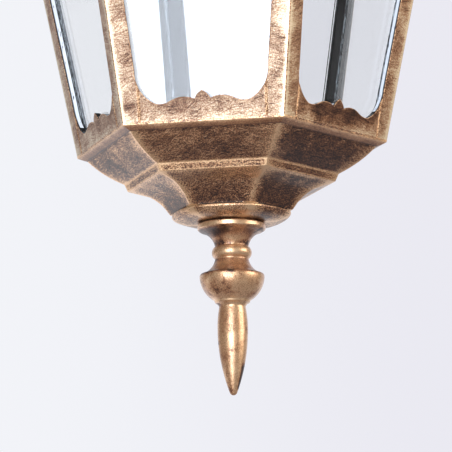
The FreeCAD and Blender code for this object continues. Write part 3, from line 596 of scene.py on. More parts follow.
def spun(points, steps, stretch=1.0, base=ZERO):
    """A section spun about the lamp's axis. It is closed, unless it starts and ends on the axis."""
    bm = bmesh.new()
    verts = [bm.verts.new((p.x * stretch * MM, 0, base + p.y * MM)) for p in points]
    edges = [bm.edges.new(pair) for pair in zip(verts, verts[1:])]
    if points[0].x or points[-1].x:
        edges.append(bm.edges.new((verts[-1], verts[0])))
    bmesh.ops.spin(bm, geom=verts + edges, cent=(0, 0, 0), axis=(0, 0, 1), angle=math.tau, steps=steps,
                   use_merge=True, use_duplicate=False)
    bmesh.ops.remove_doubles(bm, verts=bm.verts, dist=MERGE_NEAR)
    bmesh.ops.recalc_face_normals(bm, faces=bm.faces)
    return bm


def to_hexagon(bm, limit=None):
    """Draw the points between the corners in to the flat sides, and melt them into a round limit."""
    for vert in bm.verts:
        off = math.atan2(vert.co.y, vert.co.x) % SIXTH - SIXTH / 2
        share = FLAT / math.cos(off)
        if limit:
            share = (share ** -MELT + limit(vert.co.z) ** -MELT) ** (-1 / MELT)
        vert.co.x *= share
        vert.co.y *= share
    bmesh.ops.recalc_face_normals(bm, faces=bm.faces)


print("flat sides lie at", round(FLAT, 4), "of the corner's reach")

# %% [markdown]
# ## The cup
# The section is spun and drawn in to a hexagon. The foot under the last cove is nearly round, so a round
# limit holds there and opens quickly above the shoulder. Every edge but the lip's is softened, and each
# face gets its finish from the way it looks: inwards or upwards means black paint.

# %% Cup
CUP_SPIN = 6 * 8
ROUND_SHARE, ROUND_OPENING = 0.88, 0.9
CAST_EDGE, SOFT_BELOW = 0.5, 0.5
RUBBED, INSIDE, LIP_FACE = range(3)
LOOKS_IN, LOOKS_UP = -0.3, 0.5


def foot_limit(height):
    """Share of the corner's reach that the round limit leaves: the foot is nearly round, the coves not."""
    return ROUND_SHARE + ROUND_OPENING * max(0.0, (height - ZERO) / MM + SHOULDER_DROP)


def outwardness(face):
    """How far a face looks away from the lamp's axis, from -1 to 1."""
    spot = face.calc_center_median()
    return face.normal.dot(Vector((spot.x, spot.y, 0)).normalized())


cup = spun(cup_section, CUP_SPIN, 1 / FLAT)
to_hexagon(cup, foot_limit)
soften(cup, [e for e in sharp_edges(cup) if e.verts[0].co.z < ZERO + SOFT_BELOW * MM], CAST_EDGE)
for face in cup.faces:
    if outwardness(face) < LOOKS_IN or face.normal.z > LOOKS_UP:
        face.material_index = INSIDE
    elif -TIER_DROP < (face.calc_center_median().z - ZERO) / MM < 0:
        face.material_index = LIP_FACE
finished("cage_cup", cup, [cup_bronze, inside_black, lip_bronze], "cage")

# %% [markdown]
# ## Finishes of the sides
# The outer faces of the sides keep most of their bronze, pale, partly with a painted sheen, and well
# lacquered, with dark hair strokes in it. Their softened edges and grooves are a plainer, less metallic
# bronze. The reveal is the thickness of the plate around a window: seen along a post it is black with a
# pale chipped line. That line is a painted reflection: it stands for the light that the reveal mirrors and
# for the pane's ground edge seen through the glass. It could be a strip of faces, but the reveal is so
# narrow that the material draws it, from the depth under the outer face.

# %% Finishes of the sides
SIDE_BRONZE = [(0.5, 0.66), (0.8, 0.68), (1.0, 0.8), (1.4, 0.78), (2.2, 0.7), (4.0, 0.64), (7.0, 0.54),
               (9.0, 0.58), (20.0, 0.6), (60.0, 0.6)]
# The share drop on the right-hand side is painted shade.
side_bronze = rubbed_bronze("side_bronze", ZERO, SIDE_BRONZE, ridge=0.4, reach_out=5.0, patch=0.18,
                            speckle=0.15, hair=-0.4, side_shade=0.3, gloss=0.44, under=0.05, lacquer=0.72,
                            bronze=PALE_BRONZE, shine=0.1)
edge_bronze = rubbed_bronze("edge_bronze", ZERO, [(0, 0.7), (SIDES_TALL, 0.7)], speckle=0.35, hair=0.1,
                            gloss=0.42, under=0.05, lacquer=0.3, metal=0.5, shine=0.1)
LINE_STARTS, LINE_FULL, LINE_ENDS, LINE_GONE = 0.7, 0.9, 2.2, 2.3
EDGE_BLACK, GLINT_PALE = (0.008, 0.008, 0.009, 1), (0.72, 0.75, 0.80, 1)
window_reveal, net = material("window_reveal")
angle, reach, z = around_axis(net, net.position())
rise = net.math("MULTIPLY", net.math("SUBTRACT", z, ZERO), SIDE_LEAN)
outer_face = net.math("ADD", rise, FLANGE_FLAT * MM)
depth = net.math("SUBTRACT", outer_face, square_to_side(net, angle, reach)[0])
# A painted reflection: a pale chipped line on the black reveal, for mirrored light and the pane's edge seen
# through the glass.
painted_glint = net.math("MULTIPLY", net.ramp(depth, LINE_STARTS * MM, LINE_FULL * MM),
                net.ramp(depth, LINE_ENDS * MM, LINE_GONE * MM, 1.0, 0.0))
painted_glint = net.math("MULTIPLY", painted_glint, net.ramp(net.upright_chips(width=0.6, length=6), 0.28, 0.4))
edge = net.mix_colour(painted_glint, EDGE_BLACK, GLINT_PALE)
net.surface(net.add("ShaderNodeBsdfPrincipled", {"Base Color": edge, "Roughness": 0.3}))
print(window_reveal.name, len(window_reveal.node_tree.nodes), "nodes")

# %% [markdown]
# ## The window of a side
# On the lantern the six sides are part of one casting: posts at the corners, a plain rail above and a
# scalloped rail below each window. All sides are alike, so one is drawn. Its window is symmetrical: half of
# it is an outline from the peak of the scallop round to the head, and the rest is its mirror image.

# %% Window of a side
POST_FACE = 7.5
CORNER_RISE = 20
HEAD, HEAD_ROUND = SIDES_TALL - 14, 5
HALF_FOOT, HALF_LEAN = FLANGE_CORNER / 2, LEAN / 2


def jamb(level):
    """Half width of the window beside the posts."""
    return HALF_FOOT - POST_FACE + HALF_LEAN * level


window_half = outline([
    (0, 11.9),
    (0.5, 11.5),
    (3.1, 8.6, 6),
    (12.6, 8.2, 10),
    (18, 7.4, -9),
    (jamb(CORNER_RISE), CORNER_RISE, -13),
    (jamb(HEAD - HEAD_ROUND), HEAD - HEAD_ROUND),
    (jamb(HEAD) - HEAD_ROUND, HEAD, -5.6),
])
window = window_half + [Vector((-p.x, p.y)) for p in reversed(window_half[1:])]
print("window:", len(window), "points")

# %% [markdown]
# ## The plate around the window
# A plate with a hole can be cut with a boolean, which leaves untidy faces. Here four faces are laid around
# the window instead: the lower rail, the right post, the upper rail and the left post. They meet in lines
# that the next step needs.

# %% Plate around the window
GROOVE_FOOT = 24.6


def on_side(bm, x, level):
    """A vertex on the outer face of the front side."""
    return bm.verts.new((x * MM, -(FLANGE_FLAT + SIDE_LEAN * level) * MM, ZERO + level * MM))


def both_ends(bm, half, level):
    """The right and the left end of a level line on the front side."""
    return on_side(bm, half, level), on_side(bm, -half, level)


side = bmesh.new()
loop = [on_side(side, p.x, p.y) for p in window]
foot_right, foot_left = both_ends(side, HALF_FOOT + HALF_LEAN * LIP, LIP)
head_right, head_left = both_ends(side, HALF_FOOT + HALF_LEAN * SIDES_TALL, SIDES_TALL)
groove_right, groove_left = both_ends(side, GROOVE_FOOT, LIP)
rail_right, rail_left = both_ends(side, jamb(HEAD), SIDES_TALL)
count, head = len(window), len(window_half) - 1
low_points = [i for i in range(head) if window[i].y <= CORNER_RISE]
turn = min(low_points, key=lambda i: abs(window[i].x - GROOVE_FOOT))
lower_edge = loop[count - turn:] + loop[:turn + 1]
right_edge = loop[turn:head + 1]
upper_edge = loop[head:count - head + 1]
left_edge = loop[count - head:count - turn + 1]
side.faces.new([groove_left, groove_right] + lower_edge[::-1])
side.faces.new([groove_right, foot_right, head_right, rail_right] + right_edge[::-1])
side.faces.new([rail_right, rail_left] + upper_edge[::-1])
side.faces.new([rail_left, head_left, foot_left, groove_left] + left_edge[::-1])
print("plate:", len(side.faces), "faces")

# %% [markdown]
# ## Grooves
# A fine groove runs from the flange to the window where the lower rail meets a post. A bevel of two
# segments turns each of these lines into two narrow strips, and the line between them is pressed in.

# %% Grooves
GROOVE_WIDE, GROOVE_DEEP = 0.6, 0.35
ON_LINE = 1e-6
REVEAL, EDGE = 2, 3


def off_line(spot, line):
    """Distance of a point from a line through two points."""
    start, end = line
    way = (end - start).normalized()
    return ((spot - start) - way * (spot - start).dot(way)).length


grooves = [side.edges.get((groove_right, loop[turn])), side.edges.get((groove_left, loop[count - turn]))]
lines = [(e.verts[0].co.copy(), e.verts[1].co.copy()) for e in grooves]
strips = bmesh.ops.bevel(side, geom=grooves, offset=GROOVE_WIDE * MM, segments=2, profile=0.5,
                         affect="EDGES", material=-1)["faces"]
for face in strips:
    face.material_index = EDGE
for vert in side.verts:
    if any(off_line(vert.co, line) < ON_LINE for line in lines):
        vert.co.y += GROOVE_DEEP * MM
bmesh.ops.recalc_face_normals(side, faces=side.faces)
print("grooves:", len(strips), "strips")

# %% [markdown]
# ## Thickness and six copies
# The plate is extruded inwards. At the ridges it is drawn in sideways too, so that neighbouring plates meet
# in a mitre. The faces on the mitre are taken out, five turned copies close the ring, and their points are
# merged, which makes the six plates one shell. A face then gets its finish from the way it looks: out,
# in, or along the plate.

# %% Thickness and six copies
MORE_SIDES, MERGE_SIDES = 5, 2e-6
SOFT_ANGLE, SOFT_ABOVE = math.radians(40), LIP + 0.05
REVEAL_TURN, INSIDE_TURN, EDGE_TURN = 0.3, -0.2, 0.985
LEVEL_FACE = 0.6
ridge_spots = [v.co.copy() for v in (foot_right, foot_left, head_right, head_left)]
grown = bmesh.ops.extrude_face_region(side, geom=side.faces[:])["geom"]
for vert in [g for g in grown if isinstance(g, bmesh.types.BMVert)]:
    on_ridge = any((vert.co - spot).length < MERGE_NEAR for spot in ridge_spots)
    vert.co.y += PLATE * MM
    if on_ridge:
        vert.co.x -= math.copysign(PLATE * MITRE * MM, vert.co.x)
mitre = [f for f in side.faces if all(abs(abs(v.co.x) + v.co.y * MITRE) < ON_LINE for v in f.verts)]
bmesh.ops.delete(side, geom=mitre, context="FACES_ONLY")
bmesh.ops.spin(side, geom=side.verts[:] + side.edges[:] + side.faces[:], cent=(0, 0, 0), axis=(0, 0, 1),
               angle=MORE_SIDES * SIXTH, steps=MORE_SIDES, use_duplicate=True, use_merge=False)
bmesh.ops.remove_doubles(side, verts=side.verts, dist=MERGE_SIDES)
bmesh.ops.recalc_face_normals(side, faces=side.faces)
soft = [e for e in sharp_edges(side, SOFT_ANGLE)
        if max(v.co.z for v in e.verts) > ZERO + SOFT_ABOVE * MM]
soften(side, soft, CAST_EDGE)
for face in side.faces:
    spot = face.calc_center_median()
    middle = (math.atan2(spot.y, spot.x) // SIXTH + 0.5) * SIXTH
    turned = face.normal.dot(Vector((math.cos(middle), math.sin(middle), -SIDE_LEAN)).normalized())
    level_or_rear = abs(face.normal.z) > LEVEL_FACE or spot.y > 0
    if turned < INSIDE_TURN or (turned < REVEAL_TURN and level_or_rear):
        face.material_index = INSIDE
    elif turned < REVEAL_TURN:
        face.material_index = REVEAL
    elif turned < EDGE_TURN and face.material_index == RUBBED:
        face.material_index = EDGE
finished("cage_sides", side, [side_bronze, inside_black, window_reveal, edge_bronze], "cage")

# %% [markdown]
# ## The finial
# The finial is turned: collar, cove, bead, second cove, bowl, ring and a spike that swells and runs to a
# blunt tip. One half section is spun in many small steps. Its heights are shares of its length, counted
# from the tip, which the frame gives. It is rubbed all over, with worn spots and a dark patch beside the
# tip. Painted shade darkens its left side, most in the coves, and the ring under the bowl has a painted
# highlight.

# %% Finial
TIP = (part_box("finial")[0].z - ZERO) / MM
FINIAL_LONG = -CUP_DROP - TIP
TURN_STEPS, TURN_ARC, TURN_ANGLE = 72, 12, math.radians(30)
TURNED_EDGE = 0.22


def up(share):
    """A height on the finial, as a share of its length from the tip."""
    return TIP + FINIAL_LONG * share


finial_section = outline([
    (0, TIP),
    (1.45, TIP + 1, -1.55),
    (6.0, up(0.389), -73),
    (5.2, up(0.512), -45),
    (6.9, up(0.535), 2.5),
    (7.1, up(0.548)),
    (12.8, up(0.678), -11.5),
    (12.8, up(0.69)),
    (12.5, up(0.7)),
    (6.6, up(0.791), 7.6),
    (6.6, up(0.862), -2.9),
    (12.5, up(0.953), 7.6),
    (13.5, up(0.963)),
    (13.5, up(0.988)),
    (12.6, -CUP_DROP),
    (0, -CUP_DROP),
], TURN_ARC)
# The ring under the bowl, near 0.545, has its share raised as a painted highlight, since it faces down.
FINIAL_BRONZE = [(up(part), share) for part, share in (
    (0, 0.85), (0.1, 0.88), (0.42, 0.9), (0.5, 0.95), (0.53, 0.9), (0.545, 1.1), (0.56, 0.85),
    (0.62, 0.9), (0.68, 1.0), (0.7, 0.6), (0.75, 0.75), (0.78, 0.6), (0.795, 0.95), (0.855, 0.95),
    (0.87, 0.65), (0.9, 0.8), (0.935, 0.5), (0.955, 0.65), (0.965, 1.05), (0.985, 1.05), (1, 0.15),
)]
# A darker patch beside the tip of the spike.
TIP_PATCH = (0.0, TIP + 1, TIP + 14)
# The share drop on the left, strongest in the coves, is painted shade.
finial_bronze = rubbed_bronze("finial_bronze", ZERO, FINIAL_BRONZE, patch=0.16, speckle=0.1, hair=0.3,
                              spots=0.6, side_shade=0.5, side_shade_where=SHADE_LEFT, darkened=TIP_PATCH, gloss=0.35,
                              lacquer=0.9)
finial = spun(finial_section, TURN_STEPS)
soften(finial, sharp_edges(finial, TURN_ANGLE), TURNED_EDGE, 2)
finished("finial_turning", finial, [finial_bronze], "finial")

# %% [markdown]
# ## Clear glass
# The panes are plain float glass, a little wavy and faintly smeared. Real glass bends light, so the shader
# refracts; for shadow rays it lets light straight through, as thin panes do, so the inside isn't dark. The
# cut edges are ground: dark, with pale chips along them.

# %% Glass
PANE_WAVE, PANE_SMEAR = 22, 9
pane_glass, net = material("pane_glass")
waves = net.grain(PANE_WAVE, net.position(), 1.0)
smears = net.ramp(net.grain(PANE_SMEAR, net.position(), 4.0), 0.45, 0.75, 0.0, 0.02)
glass = net.add("ShaderNodeBsdfPrincipled", {"Base Color": (0.97, 0.98, 0.985, 1), "Roughness": smears,
                                             "Transmission Weight": 1.0, "IOR": 1.5,
                                             "Normal": net.bump(waves, 0.04, 0.4)})
clear = net.add("ShaderNodeBsdfTransparent", {"Color": (0.93, 0.95, 0.96, 1)})
path = net.add("ShaderNodeLightPath")
net.surface(net.add("ShaderNodeMixShader", {0: path.outputs["Is Shadow Ray"], 1: glass.outputs[0],
                                            2: clear.outputs[0]}))
CHIP_PALE = (0.55, 0.60, 0.63, 1)
ground_edge, net = material("ground_edge")
chips = net.ramp(net.upright_chips(width=0.5, length=5), 0.52, 0.62)
ground = net.mix_colour(chips, EDGE_BLACK, CHIP_PALE)
net.surface(net.add("ShaderNodeBsdfPrincipled", {"Base Color": ground, "Roughness": 0.5}))
print("glass:", pane_glass.name, ground_edge.name)

# %% [markdown]
# ## The panes
# A pane is a flat plate, and its solid already has the right outline. A merged copy, cleared of needless
# edges, gets a narrow ground arris all round, and its faces are sorted into the two broad ones and the
# edges.

# %% Panes
ARRIS = 0.3
MERGE_CAD = 1e-6
ONE_PLANE, BROAD_FACE = math.radians(1), 0.5
for number in range(1, 7):
    name = f"glass_pane_{number}"
    pane = bmesh.new()
    pane.from_mesh(nodes[name].data)
    bmesh.ops.remove_doubles(pane, verts=pane.verts, dist=MERGE_CAD)
    bmesh.ops.dissolve_limit(pane, angle_limit=ONE_PLANE, verts=pane.verts, edges=pane.edges)
    face_way = max(pane.faces, key=lambda f: f.calc_area()).normal.copy()
    for face in pane.faces:
        face.material_index = 0 if abs(face.normal.dot(face_way)) > BROAD_FACE else 1
    soften(pane, pane.edges[:], ARRIS, 1)
    finished(f"pane_{number}", pane, [pane_glass, ground_edge], name)

# %% [markdown]
# ## The roof
# The photo ends below the roof, so it is kept plain: a hexagonal shell with a skirt over the top rail, a
# hollow slope, a band and a low dome. It is made like the cup, from one section with its wall thickness,
# and rubbed like the cup.

# %% Roof
SKIRT_GAP, SHELL = 0.6, 2.5
SKIRT_IN = FLANGE_FLAT + SIDE_LEAN * SIDES_TALL + SKIRT_GAP
SKIRT_OUT = SKIRT_IN + SHELL
SKIRT_FOOT, EAVE, ROOF_BAND, ROOF_TOP = (SIDES_TALL + rise for rise in (-7, 3, 32, 54))
SHELL_FOOT = SKIRT_IN - 4.45
NIPPLE_HOLE = 5.2
ROOF_EDGE = 0.7
roof_section = outline([
    (SKIRT_IN, SKIRT_FOOT),
    (SKIRT_OUT, SKIRT_FOOT),
    (SKIRT_OUT, EAVE),
    (SKIRT_OUT - 3, EAVE + SHELL),
    (44, ROOF_BAND, 70),
    (42.5, ROOF_BAND + 4),
    (20, ROOF_TOP - 4, -34),
    (18.5, ROOF_TOP),
    (NIPPLE_HOLE, ROOF_TOP),
    (NIPPLE_HOLE, ROOF_TOP - SHELL),
    (16, ROOF_TOP - SHELL),
    (17.5, ROOF_TOP - 5.9),
    (40, ROOF_BAND + SHELL, 31.5),
    (41.5, ROOF_BAND - 1.9),
    (SHELL_FOOT, EAVE - 0.6, -72.5),
    (SHELL_FOOT, SIDES_TALL),
    (SKIRT_IN, SIDES_TALL),
])
roof_bronze = rubbed_bronze("roof_bronze", ZERO, [
    (SKIRT_FOOT, 0.95), (SKIRT_FOOT + 1, 0.6), (EAVE - 1, 0.6), (EAVE, 0.95), (EAVE + 2.6, 0.95),
    (EAVE + 4, 0.5), (ROOF_BAND - 8, 0.4), (ROOF_BAND - 0.4, 0.6), (ROOF_BAND, 0.95),
    (ROOF_BAND + 4, 0.9), (ROOF_BAND + 5, 0.45), (ROOF_TOP - 6, 0.45), (ROOF_TOP, 0.9),
], ridge=0.45, hair=0.45)
roof = spun(roof_section, CUP_SPIN, 1 / FLAT)
to_hexagon(roof)
soften(roof, sharp_edges(roof), ROOF_EDGE)
for face in roof.faces:
    looks_down = face.normal.z < -LOOKS_UP
    face.material_index = INSIDE if outwardness(face) < LOOKS_IN or looks_down else RUBBED
finished("roof_shell", roof, [roof_bronze, inside_black], "roof")

# %% [markdown]
# ## Cap
# The cap over the roof's hole is cast and turned. It is round, so its section is simply spun.

# %% Cap
NIPPLE = 5.05
CAP_SEAT, CAP_TALL, CAP_RIM = ROOF_TOP + 1.5, 13.5, 2.5
CAP_TOP = CAP_SEAT + CAP_TALL
cap_section = outline([
    (NIPPLE, CAP_SEAT),
    (16.5, CAP_SEAT),
    (16.5, CAP_SEAT + CAP_RIM),
    (10, CAP_TOP - 3, 12),
    (10, CAP_TOP),
    (NIPPLE, CAP_TOP),
])
cap_bronze = rubbed_bronze("cap_bronze", ZERO, [
    (CAP_SEAT, 0.9), (CAP_SEAT + CAP_RIM, 1.0), (CAP_SEAT + 3, 0.5), (CAP_SEAT + 8, 0.5), (CAP_TOP, 0.95),
], hair=0.3)
cap = spun(cap_section, TURN_STEPS)
soften(cap, sharp_edges(cap, TURN_ANGLE), CAST_EDGE)
finished("cap_casting", cap, [cap_bronze], "roof_cap")

# %% [markdown]
# ## Canopy
# The canopy at the ceiling is a bell of spun steel with a straight rim. Its section follows the sheet down
# the outer side and back up the inner one, and is measured from the ceiling.

# %% Canopy
CANOPY_WALL = 1.6
CANOPY_RIM, RIM_DROP = 50, 6
NECK_RING, RING_DROP, CANOPY_DROP = 15, 24, 26
BELL_ROUND = 40
SHEET_EDGE = 0.4
canopy_section = outline([
    (CANOPY_RIM, 0),
    (CANOPY_RIM, -RIM_DROP),
    (NECK_RING, -RING_DROP, BELL_ROUND),
    (13, -CANOPY_DROP),
    (NIPPLE, -CANOPY_DROP),
    (NIPPLE, -CANOPY_DROP + CANOPY_WALL),
    (12.2, -CANOPY_DROP + CANOPY_WALL),
    (14.2, -RING_DROP + CANOPY_WALL),
    (CANOPY_RIM - CANOPY_WALL, -RIM_DROP, -BELL_ROUND + CANOPY_WALL),
    (CANOPY_RIM - CANOPY_WALL, 0),
])
canopy_bronze = rubbed_bronze("canopy_bronze", 0.0, [
    (-CANOPY_DROP, 0.7), (-RING_DROP - 0.5, 0.95), (-22, 0.55), (-9, 0.45), (-RIM_DROP - 0.5, 0.8),
    (-RIM_DROP + 0.2, 0.95), (-RIM_DROP + 1, 0.6), (-0.5, 0.6), (0, 0.9),
], hair=0.45)
canopy = spun(canopy_section, TURN_STEPS, base=0.0)
soften(canopy, sharp_edges(canopy, TURN_ANGLE), SHEET_EDGE)
finished("canopy_bell", canopy, [canopy_bronze], "canopy")

# %% [markdown]
# ## Chain, loops and screws
# The links and loops are bent and cast rings, whose solids are already round. A copy with merged points
# gets smooth faces and the same rubbed bronze, only with less black, because a chain wears bright.

# %% Chain, loops and screws
CHAIN_SHARE = 0.68


def dressed(node, *materials):
    """A copy of a CAD node with merged points and smooth curves."""
    bm = bmesh.new()
    bm.from_mesh(nodes[node].data)
    bmesh.ops.remove_doubles(bm, verts=bm.verts, dist=MERGE_CAD)
    for face in bm.faces:
        face.material_index = 0
    return finished(node + "_dressed", bm, materials, node)


chain_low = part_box("top_loop")[0].z / MM
chain_bronze = rubbed_bronze("chain_bronze", 0.0, [(chain_low, CHAIN_SHARE), (0, CHAIN_SHARE)], patch=0.3,
                             speckle=0.3, hair=0.3, spots=0.25)
for node in ("roof_screws", "top_loop", "canopy_loop"):
    dressed(node, chain_bronze)
for number in range(1, 6):
    dressed(f"chain_link_{number}", chain_bronze)

# %% [markdown]
# ## Finishes of the small parts
# Zinc plated steel, brass, rubber, black plastic, porcelain and frosted glass hardly show, but each has its
# own finish. They share one recipe: two close tones mixed by a fine grain, which also moves the roughness
# and the bump a little.

# %% Finishes of the small parts


def plain_finish(name, dark, light, size, rough, bump=0.1, **constants):
    """Two tones mixed by a grain of a size in millimetres, with roughness between two values."""
    made, net = material(name)
    grain = net.grain(size, net.position(), 4.0)
    colour = net.mix_colour(net.ramp(grain, TONE_FROM, TONE_TO), (*dark, 1), (*light, 1))
    inputs = {"Base Color": colour, "Roughness": net.ramp(grain, 0.3, 0.7, *rough),
              "Normal": net.bump(grain, bump)}
    inputs.update({key.replace("_", " "): value for key, value in constants.items()})
    net.surface(net.add("ShaderNodeBsdfPrincipled", inputs))
    print(name, len(made.node_tree.nodes), "nodes")
    return made


zinc = plain_finish("zinc_plating", (0.46, 0.46, 0.45), (0.68, 0.68, 0.65), 2.5, (0.28, 0.45), Metallic=1.0)
brass = plain_finish("brass", (0.50, 0.33, 0.12), (0.74, 0.54, 0.24), 3.0, (0.22, 0.4), Metallic=1.0)
rubber = plain_finish("black_rubber", (0.010, 0.010, 0.011), (0.030, 0.029, 0.028), 0.7, (0.6, 0.8), 0.3)
plastic = plain_finish("black_plastic", (0.012, 0.012, 0.013), (0.024, 0.024, 0.025), 0.5, (0.3, 0.42), 0.2)
porcelain = plain_finish("porcelain", (0.80, 0.78, 0.73), (0.88, 0.87, 0.83), 4.0, (0.2, 0.3), 0.04,
                         Coat_Weight=0.6)
frosted = plain_finish("frosted_glass", (0.86, 0.87, 0.86), (0.94, 0.94, 0.92), 0.4, (0.4, 0.55), 0.06,
                       Transmission_Weight=0.5)

# %% [markdown]
# ## Small parts
# The fixings, the lampholder and the bulb sit inside or on the ceiling. Their solids have all the shape
# that can be seen, so they are only dressed. The bulb is one solid of two finishes: its screw cap, at the
# top, is brass.

# %% Small parts
BULB_CAP = 22
ZINC_PARTS = ("ceiling_bracket", "canopy_nipple", "canopy_nuts", "earth_screw", "hanger_nipple", "roof_nut",
              "pane_clips", "clip_screws", "finial_stud", "finial_washer", "finial_nut")
for node in ZINC_PARTS:
    dressed(node, zinc)
for node, finish in (("roof_seal", rubber), ("lampholder_cap", plastic), ("lampholder_skirt", plastic),
                     ("lampholder_core", porcelain), ("lampholder_contact", brass),
                     ("lampholder_sleeve", brass)):
    dressed(node, finish)
bulb = dressed("bulb", frosted, brass)
cap_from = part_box("bulb")[1].z - BULB_CAP * MM
for face in bulb.data.polygons:
    face.material_index = 1 if face.center.z > cap_from else 0

# %% [markdown]
# ## Camera
# The photograph looks up at the lantern from a little to the right, through a long lens. The camera's place
# is given by its angle round the lamp, its angle up, its distance and a slight roll. The focal length is in
# pixels of the photograph, and the width of the sensor turns it into millimetres.

# %% Camera
PHOTO_SIDE, FOCAL_PIXELS = 452, 2938
SENSOR = 36
AZIMUTH, ELEVATION, ROLL = (math.radians(a) for a in (11.0, -10.9, -0.7))
DISTANCE = 1160 * MM
AIM_ACROSS, AIM_UP = -2.15 * MM, -30.4 * MM
back = Vector((math.sin(AZIMUTH) * math.cos(ELEVATION), -math.cos(AZIMUTH) * math.cos(ELEVATION),
               math.sin(ELEVATION)))
across = Vector((math.cos(AZIMUTH), math.sin(AZIMUTH), 0))
rolled = Matrix.Rotation(ROLL, 3, back)
right_way, up_way = rolled @ across, rolled @ back.cross(across)
camera_data = bpy.data.cameras.new("camera")
camera_data.sensor_width = SENSOR
camera_data.lens = SENSOR * FOCAL_PIXELS / PHOTO_SIDE
camera = bpy.data.objects.new("camera", camera_data)
facing = Matrix((right_way, up_way, back)).transposed().to_4x4()
aim = across * AIM_ACROSS + Vector((0, 0, ZERO + AIM_UP))
camera.matrix_world = Matrix.Translation(aim + back * DISTANCE) @ facing
scene.collection.objects.link(camera)
scene.camera = camera
print("lens", round(camera_data.lens, 1), "mm")

# %% [markdown]
# ## Backdrop
# The backdrop is a pale lilac, a little lighter on the left. Rays that reach the camera straight or through
# the glass see it. Rays that a shiny surface has mirrored see a darker room with the backdrop behind the
# lamp, as in a real studio, and all other rays bring a plain fill light. Light Path's Glossy Depth tells
# them apart, so the backdrop can be pale without more light on the lamp.

# %% World
BACKDROP_LEFT, BACKDROP_RIGHT = (0.89, 0.90, 0.94, 1), (0.825, 0.82, 0.885, 1)
ROOM, FILL = (0.18, 0.175, 0.175, 1), (0.32, 0.31, 0.31, 1)
VIEW_HALF = 0.08
ROOM_ENDS, BACKDROP_STARTS = 0.45, 0.75


def rays(net):
    """1 for rays that see a thing straight or through glass, 1 for mirrored rays, 1 for glossy rays."""
    path = net.add("ShaderNodeLightPath")
    mirrored = net.math("MINIMUM", path.outputs["Glossy Depth"], 1.0)
    through = net.math("MULTIPLY", path.outputs["Is Transmission Ray"], net.math("SUBTRACT", 1.0, mirrored))
    straight = net.math("MAXIMUM", path.outputs["Is Camera Ray"], through)
    return straight, mirrored, path.outputs["Is Glossy Ray"]


world = bpy.data.worlds.new("studio")
scene.world = world
world.use_nodes = True
net = Net(world.node_tree)
way = net.add("ShaderNodeTexCoord").outputs["Generated"]
backdrop = net.mix_colour(net.ramp(net.dot(way, right_way), -VIEW_HALF, VIEW_HALF), BACKDROP_LEFT,
                          BACKDROP_RIGHT)
studio = net.mix_colour(net.ramp(net.dot(way, -back), ROOM_ENDS, BACKDROP_STARTS), ROOM, backdrop)
straight, mirrored, _ = rays(net)
sky = net.mix_colour(mirrored, FILL, studio)
light = net.add("ShaderNodeBackground", {"Color": net.mix_colour(straight, sky, backdrop)})
net.add("ShaderNodeOutputWorld", {"Surface": light.outputs[0]})
print(world.name, len(world.node_tree.nodes), "nodes")

# %% [markdown]
# ## Floor
# A wide pale disc lies far below. It keeps the lamp's shadow, and it takes most of the backdrop's tone for
# rays that see it straight, as a paper sweep does that runs from the floor up the wall. Glossy rays see
# that sweep behind the lamp only.

# %% Floor
FLOOR, FLOOR_REACH, FLOOR_GRAIN = -2.6, 30, 400
SWEEP_WAY, SWEEP_STARTS, SWEEP_FULL = (-0.5, FLAT, 0), 1.8, 4.0
SWEEP_SHARE = 0.8
FLOOR_DARK, FLOOR_LIGHT = (0.64, 0.63, 0.68, 1), (0.70, 0.69, 0.74, 1)
bm = bmesh.new()
bmesh.ops.create_circle(bm, cap_ends=True, radius=FLOOR_REACH, segments=96,
                        matrix=Matrix.Translation((0, 0, FLOOR)))
floor_mesh = bpy.data.meshes.new("floor")
bm.to_mesh(floor_mesh)
bm.free()
floor_paint, net = material("floor_paint")
shade = net.mix_colour(net.ramp(net.grain(FLOOR_GRAIN, net.position()), 0.3, 0.7), FLOOR_DARK, FLOOR_LIGHT)
painted = net.add("ShaderNodeBsdfPrincipled", {"Base Color": shade, "Roughness": 0.8})
sweep = net.add("ShaderNodeEmission", {"Color": BACKDROP_LEFT})
straight, _, glossy = rays(net)
rear = net.ramp(net.dot(net.position(), SWEEP_WAY), SWEEP_STARTS, SWEEP_FULL)
seen = net.math("MAXIMUM", net.math("MULTIPLY", glossy, rear), net.math("MULTIPLY", straight, SWEEP_SHARE))
net.surface(net.add("ShaderNodeMixShader", {0: seen, 1: painted.outputs[0], 2: sweep.outputs[0]}))
floor_mesh.materials.append(floor_paint)
floor = bpy.data.objects.new("floor", floor_mesh)
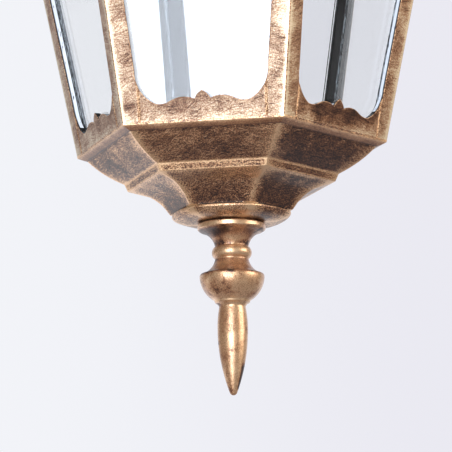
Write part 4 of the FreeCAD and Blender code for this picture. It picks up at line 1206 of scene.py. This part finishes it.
scene.collection.objects.link(floor)
print("floor at", FLOOR, "m")

# %% [markdown]
# ## Soft boxes
# Three soft boxes light the lamp. The large one stands where the front pane mirrors it into the camera, so
# that the pane and the front posts turn pale as in the photograph: the line of sight is mirrored in the
# pane to find the place. A warm one on the right lights the right-hand facets from the side, and a faint
# one behind on the left draws the left-hand edges.

# %% Soft boxes
DAYLIGHT, LAMPLIGHT, EDGE_LIGHT = (0.82, 0.89, 1.0), (1.0, 0.94, 0.88), (0.96, 0.94, 1.0)
PANE_LEVEL = 28
FRONT_AWAY, FRONT_ASIDE, FRONT_UP = 1.25, 0.2, 0.1
RIGHT_PLACE, LEFT_PLACE = Vector((1.245, -0.11, 0.28)), Vector((-0.73, 0.8, -0.6))
MIDDLE = Vector((0, 0, ZERO))


def soft_box(name, place, towards, wide, tall, level, colour):
    """A rectangular soft light that faces a point. Its level is its brightness beside a white of 1."""
    data = bpy.data.lights.new(name, "AREA")
    data.shape = "RECTANGLE"
    data.size, data.size_y, data.energy = wide, tall, level * math.pi * wide * tall
    data.color = colour
    item = bpy.data.objects.new(name, data)
    item.location = place
    item.rotation_euler = (towards - place).to_track_quat("-Z", "Y").to_euler()
    scene.collection.objects.link(item)
    print(name, "level", level)


pane_middle = Vector((0, -FLANGE_FLAT - SIDE_LEAN * PANE_LEVEL, PANE_LEVEL)) * MM + MIDDLE
pane_way = Vector((0, -1, -SIDE_LEAN)).normalized()
mirror_way = (pane_middle - camera.location).normalized().reflect(pane_way)
front_place = pane_middle + mirror_way * FRONT_AWAY + right_way * FRONT_ASIDE + Vector((0, 0, FRONT_UP))
soft_box("front_box", front_place, pane_middle, wide=0.75, tall=0.95, level=7.4, colour=DAYLIGHT)
soft_box("right_box", MIDDLE + RIGHT_PLACE, MIDDLE, wide=0.8, tall=0.6, level=4.6, colour=LAMPLIGHT)
soft_box("left_box", MIDDLE + LEFT_PLACE, MIDDLE, wide=1.0, tall=1.0, level=0.35, colour=EDGE_LIGHT)

# %% [markdown]
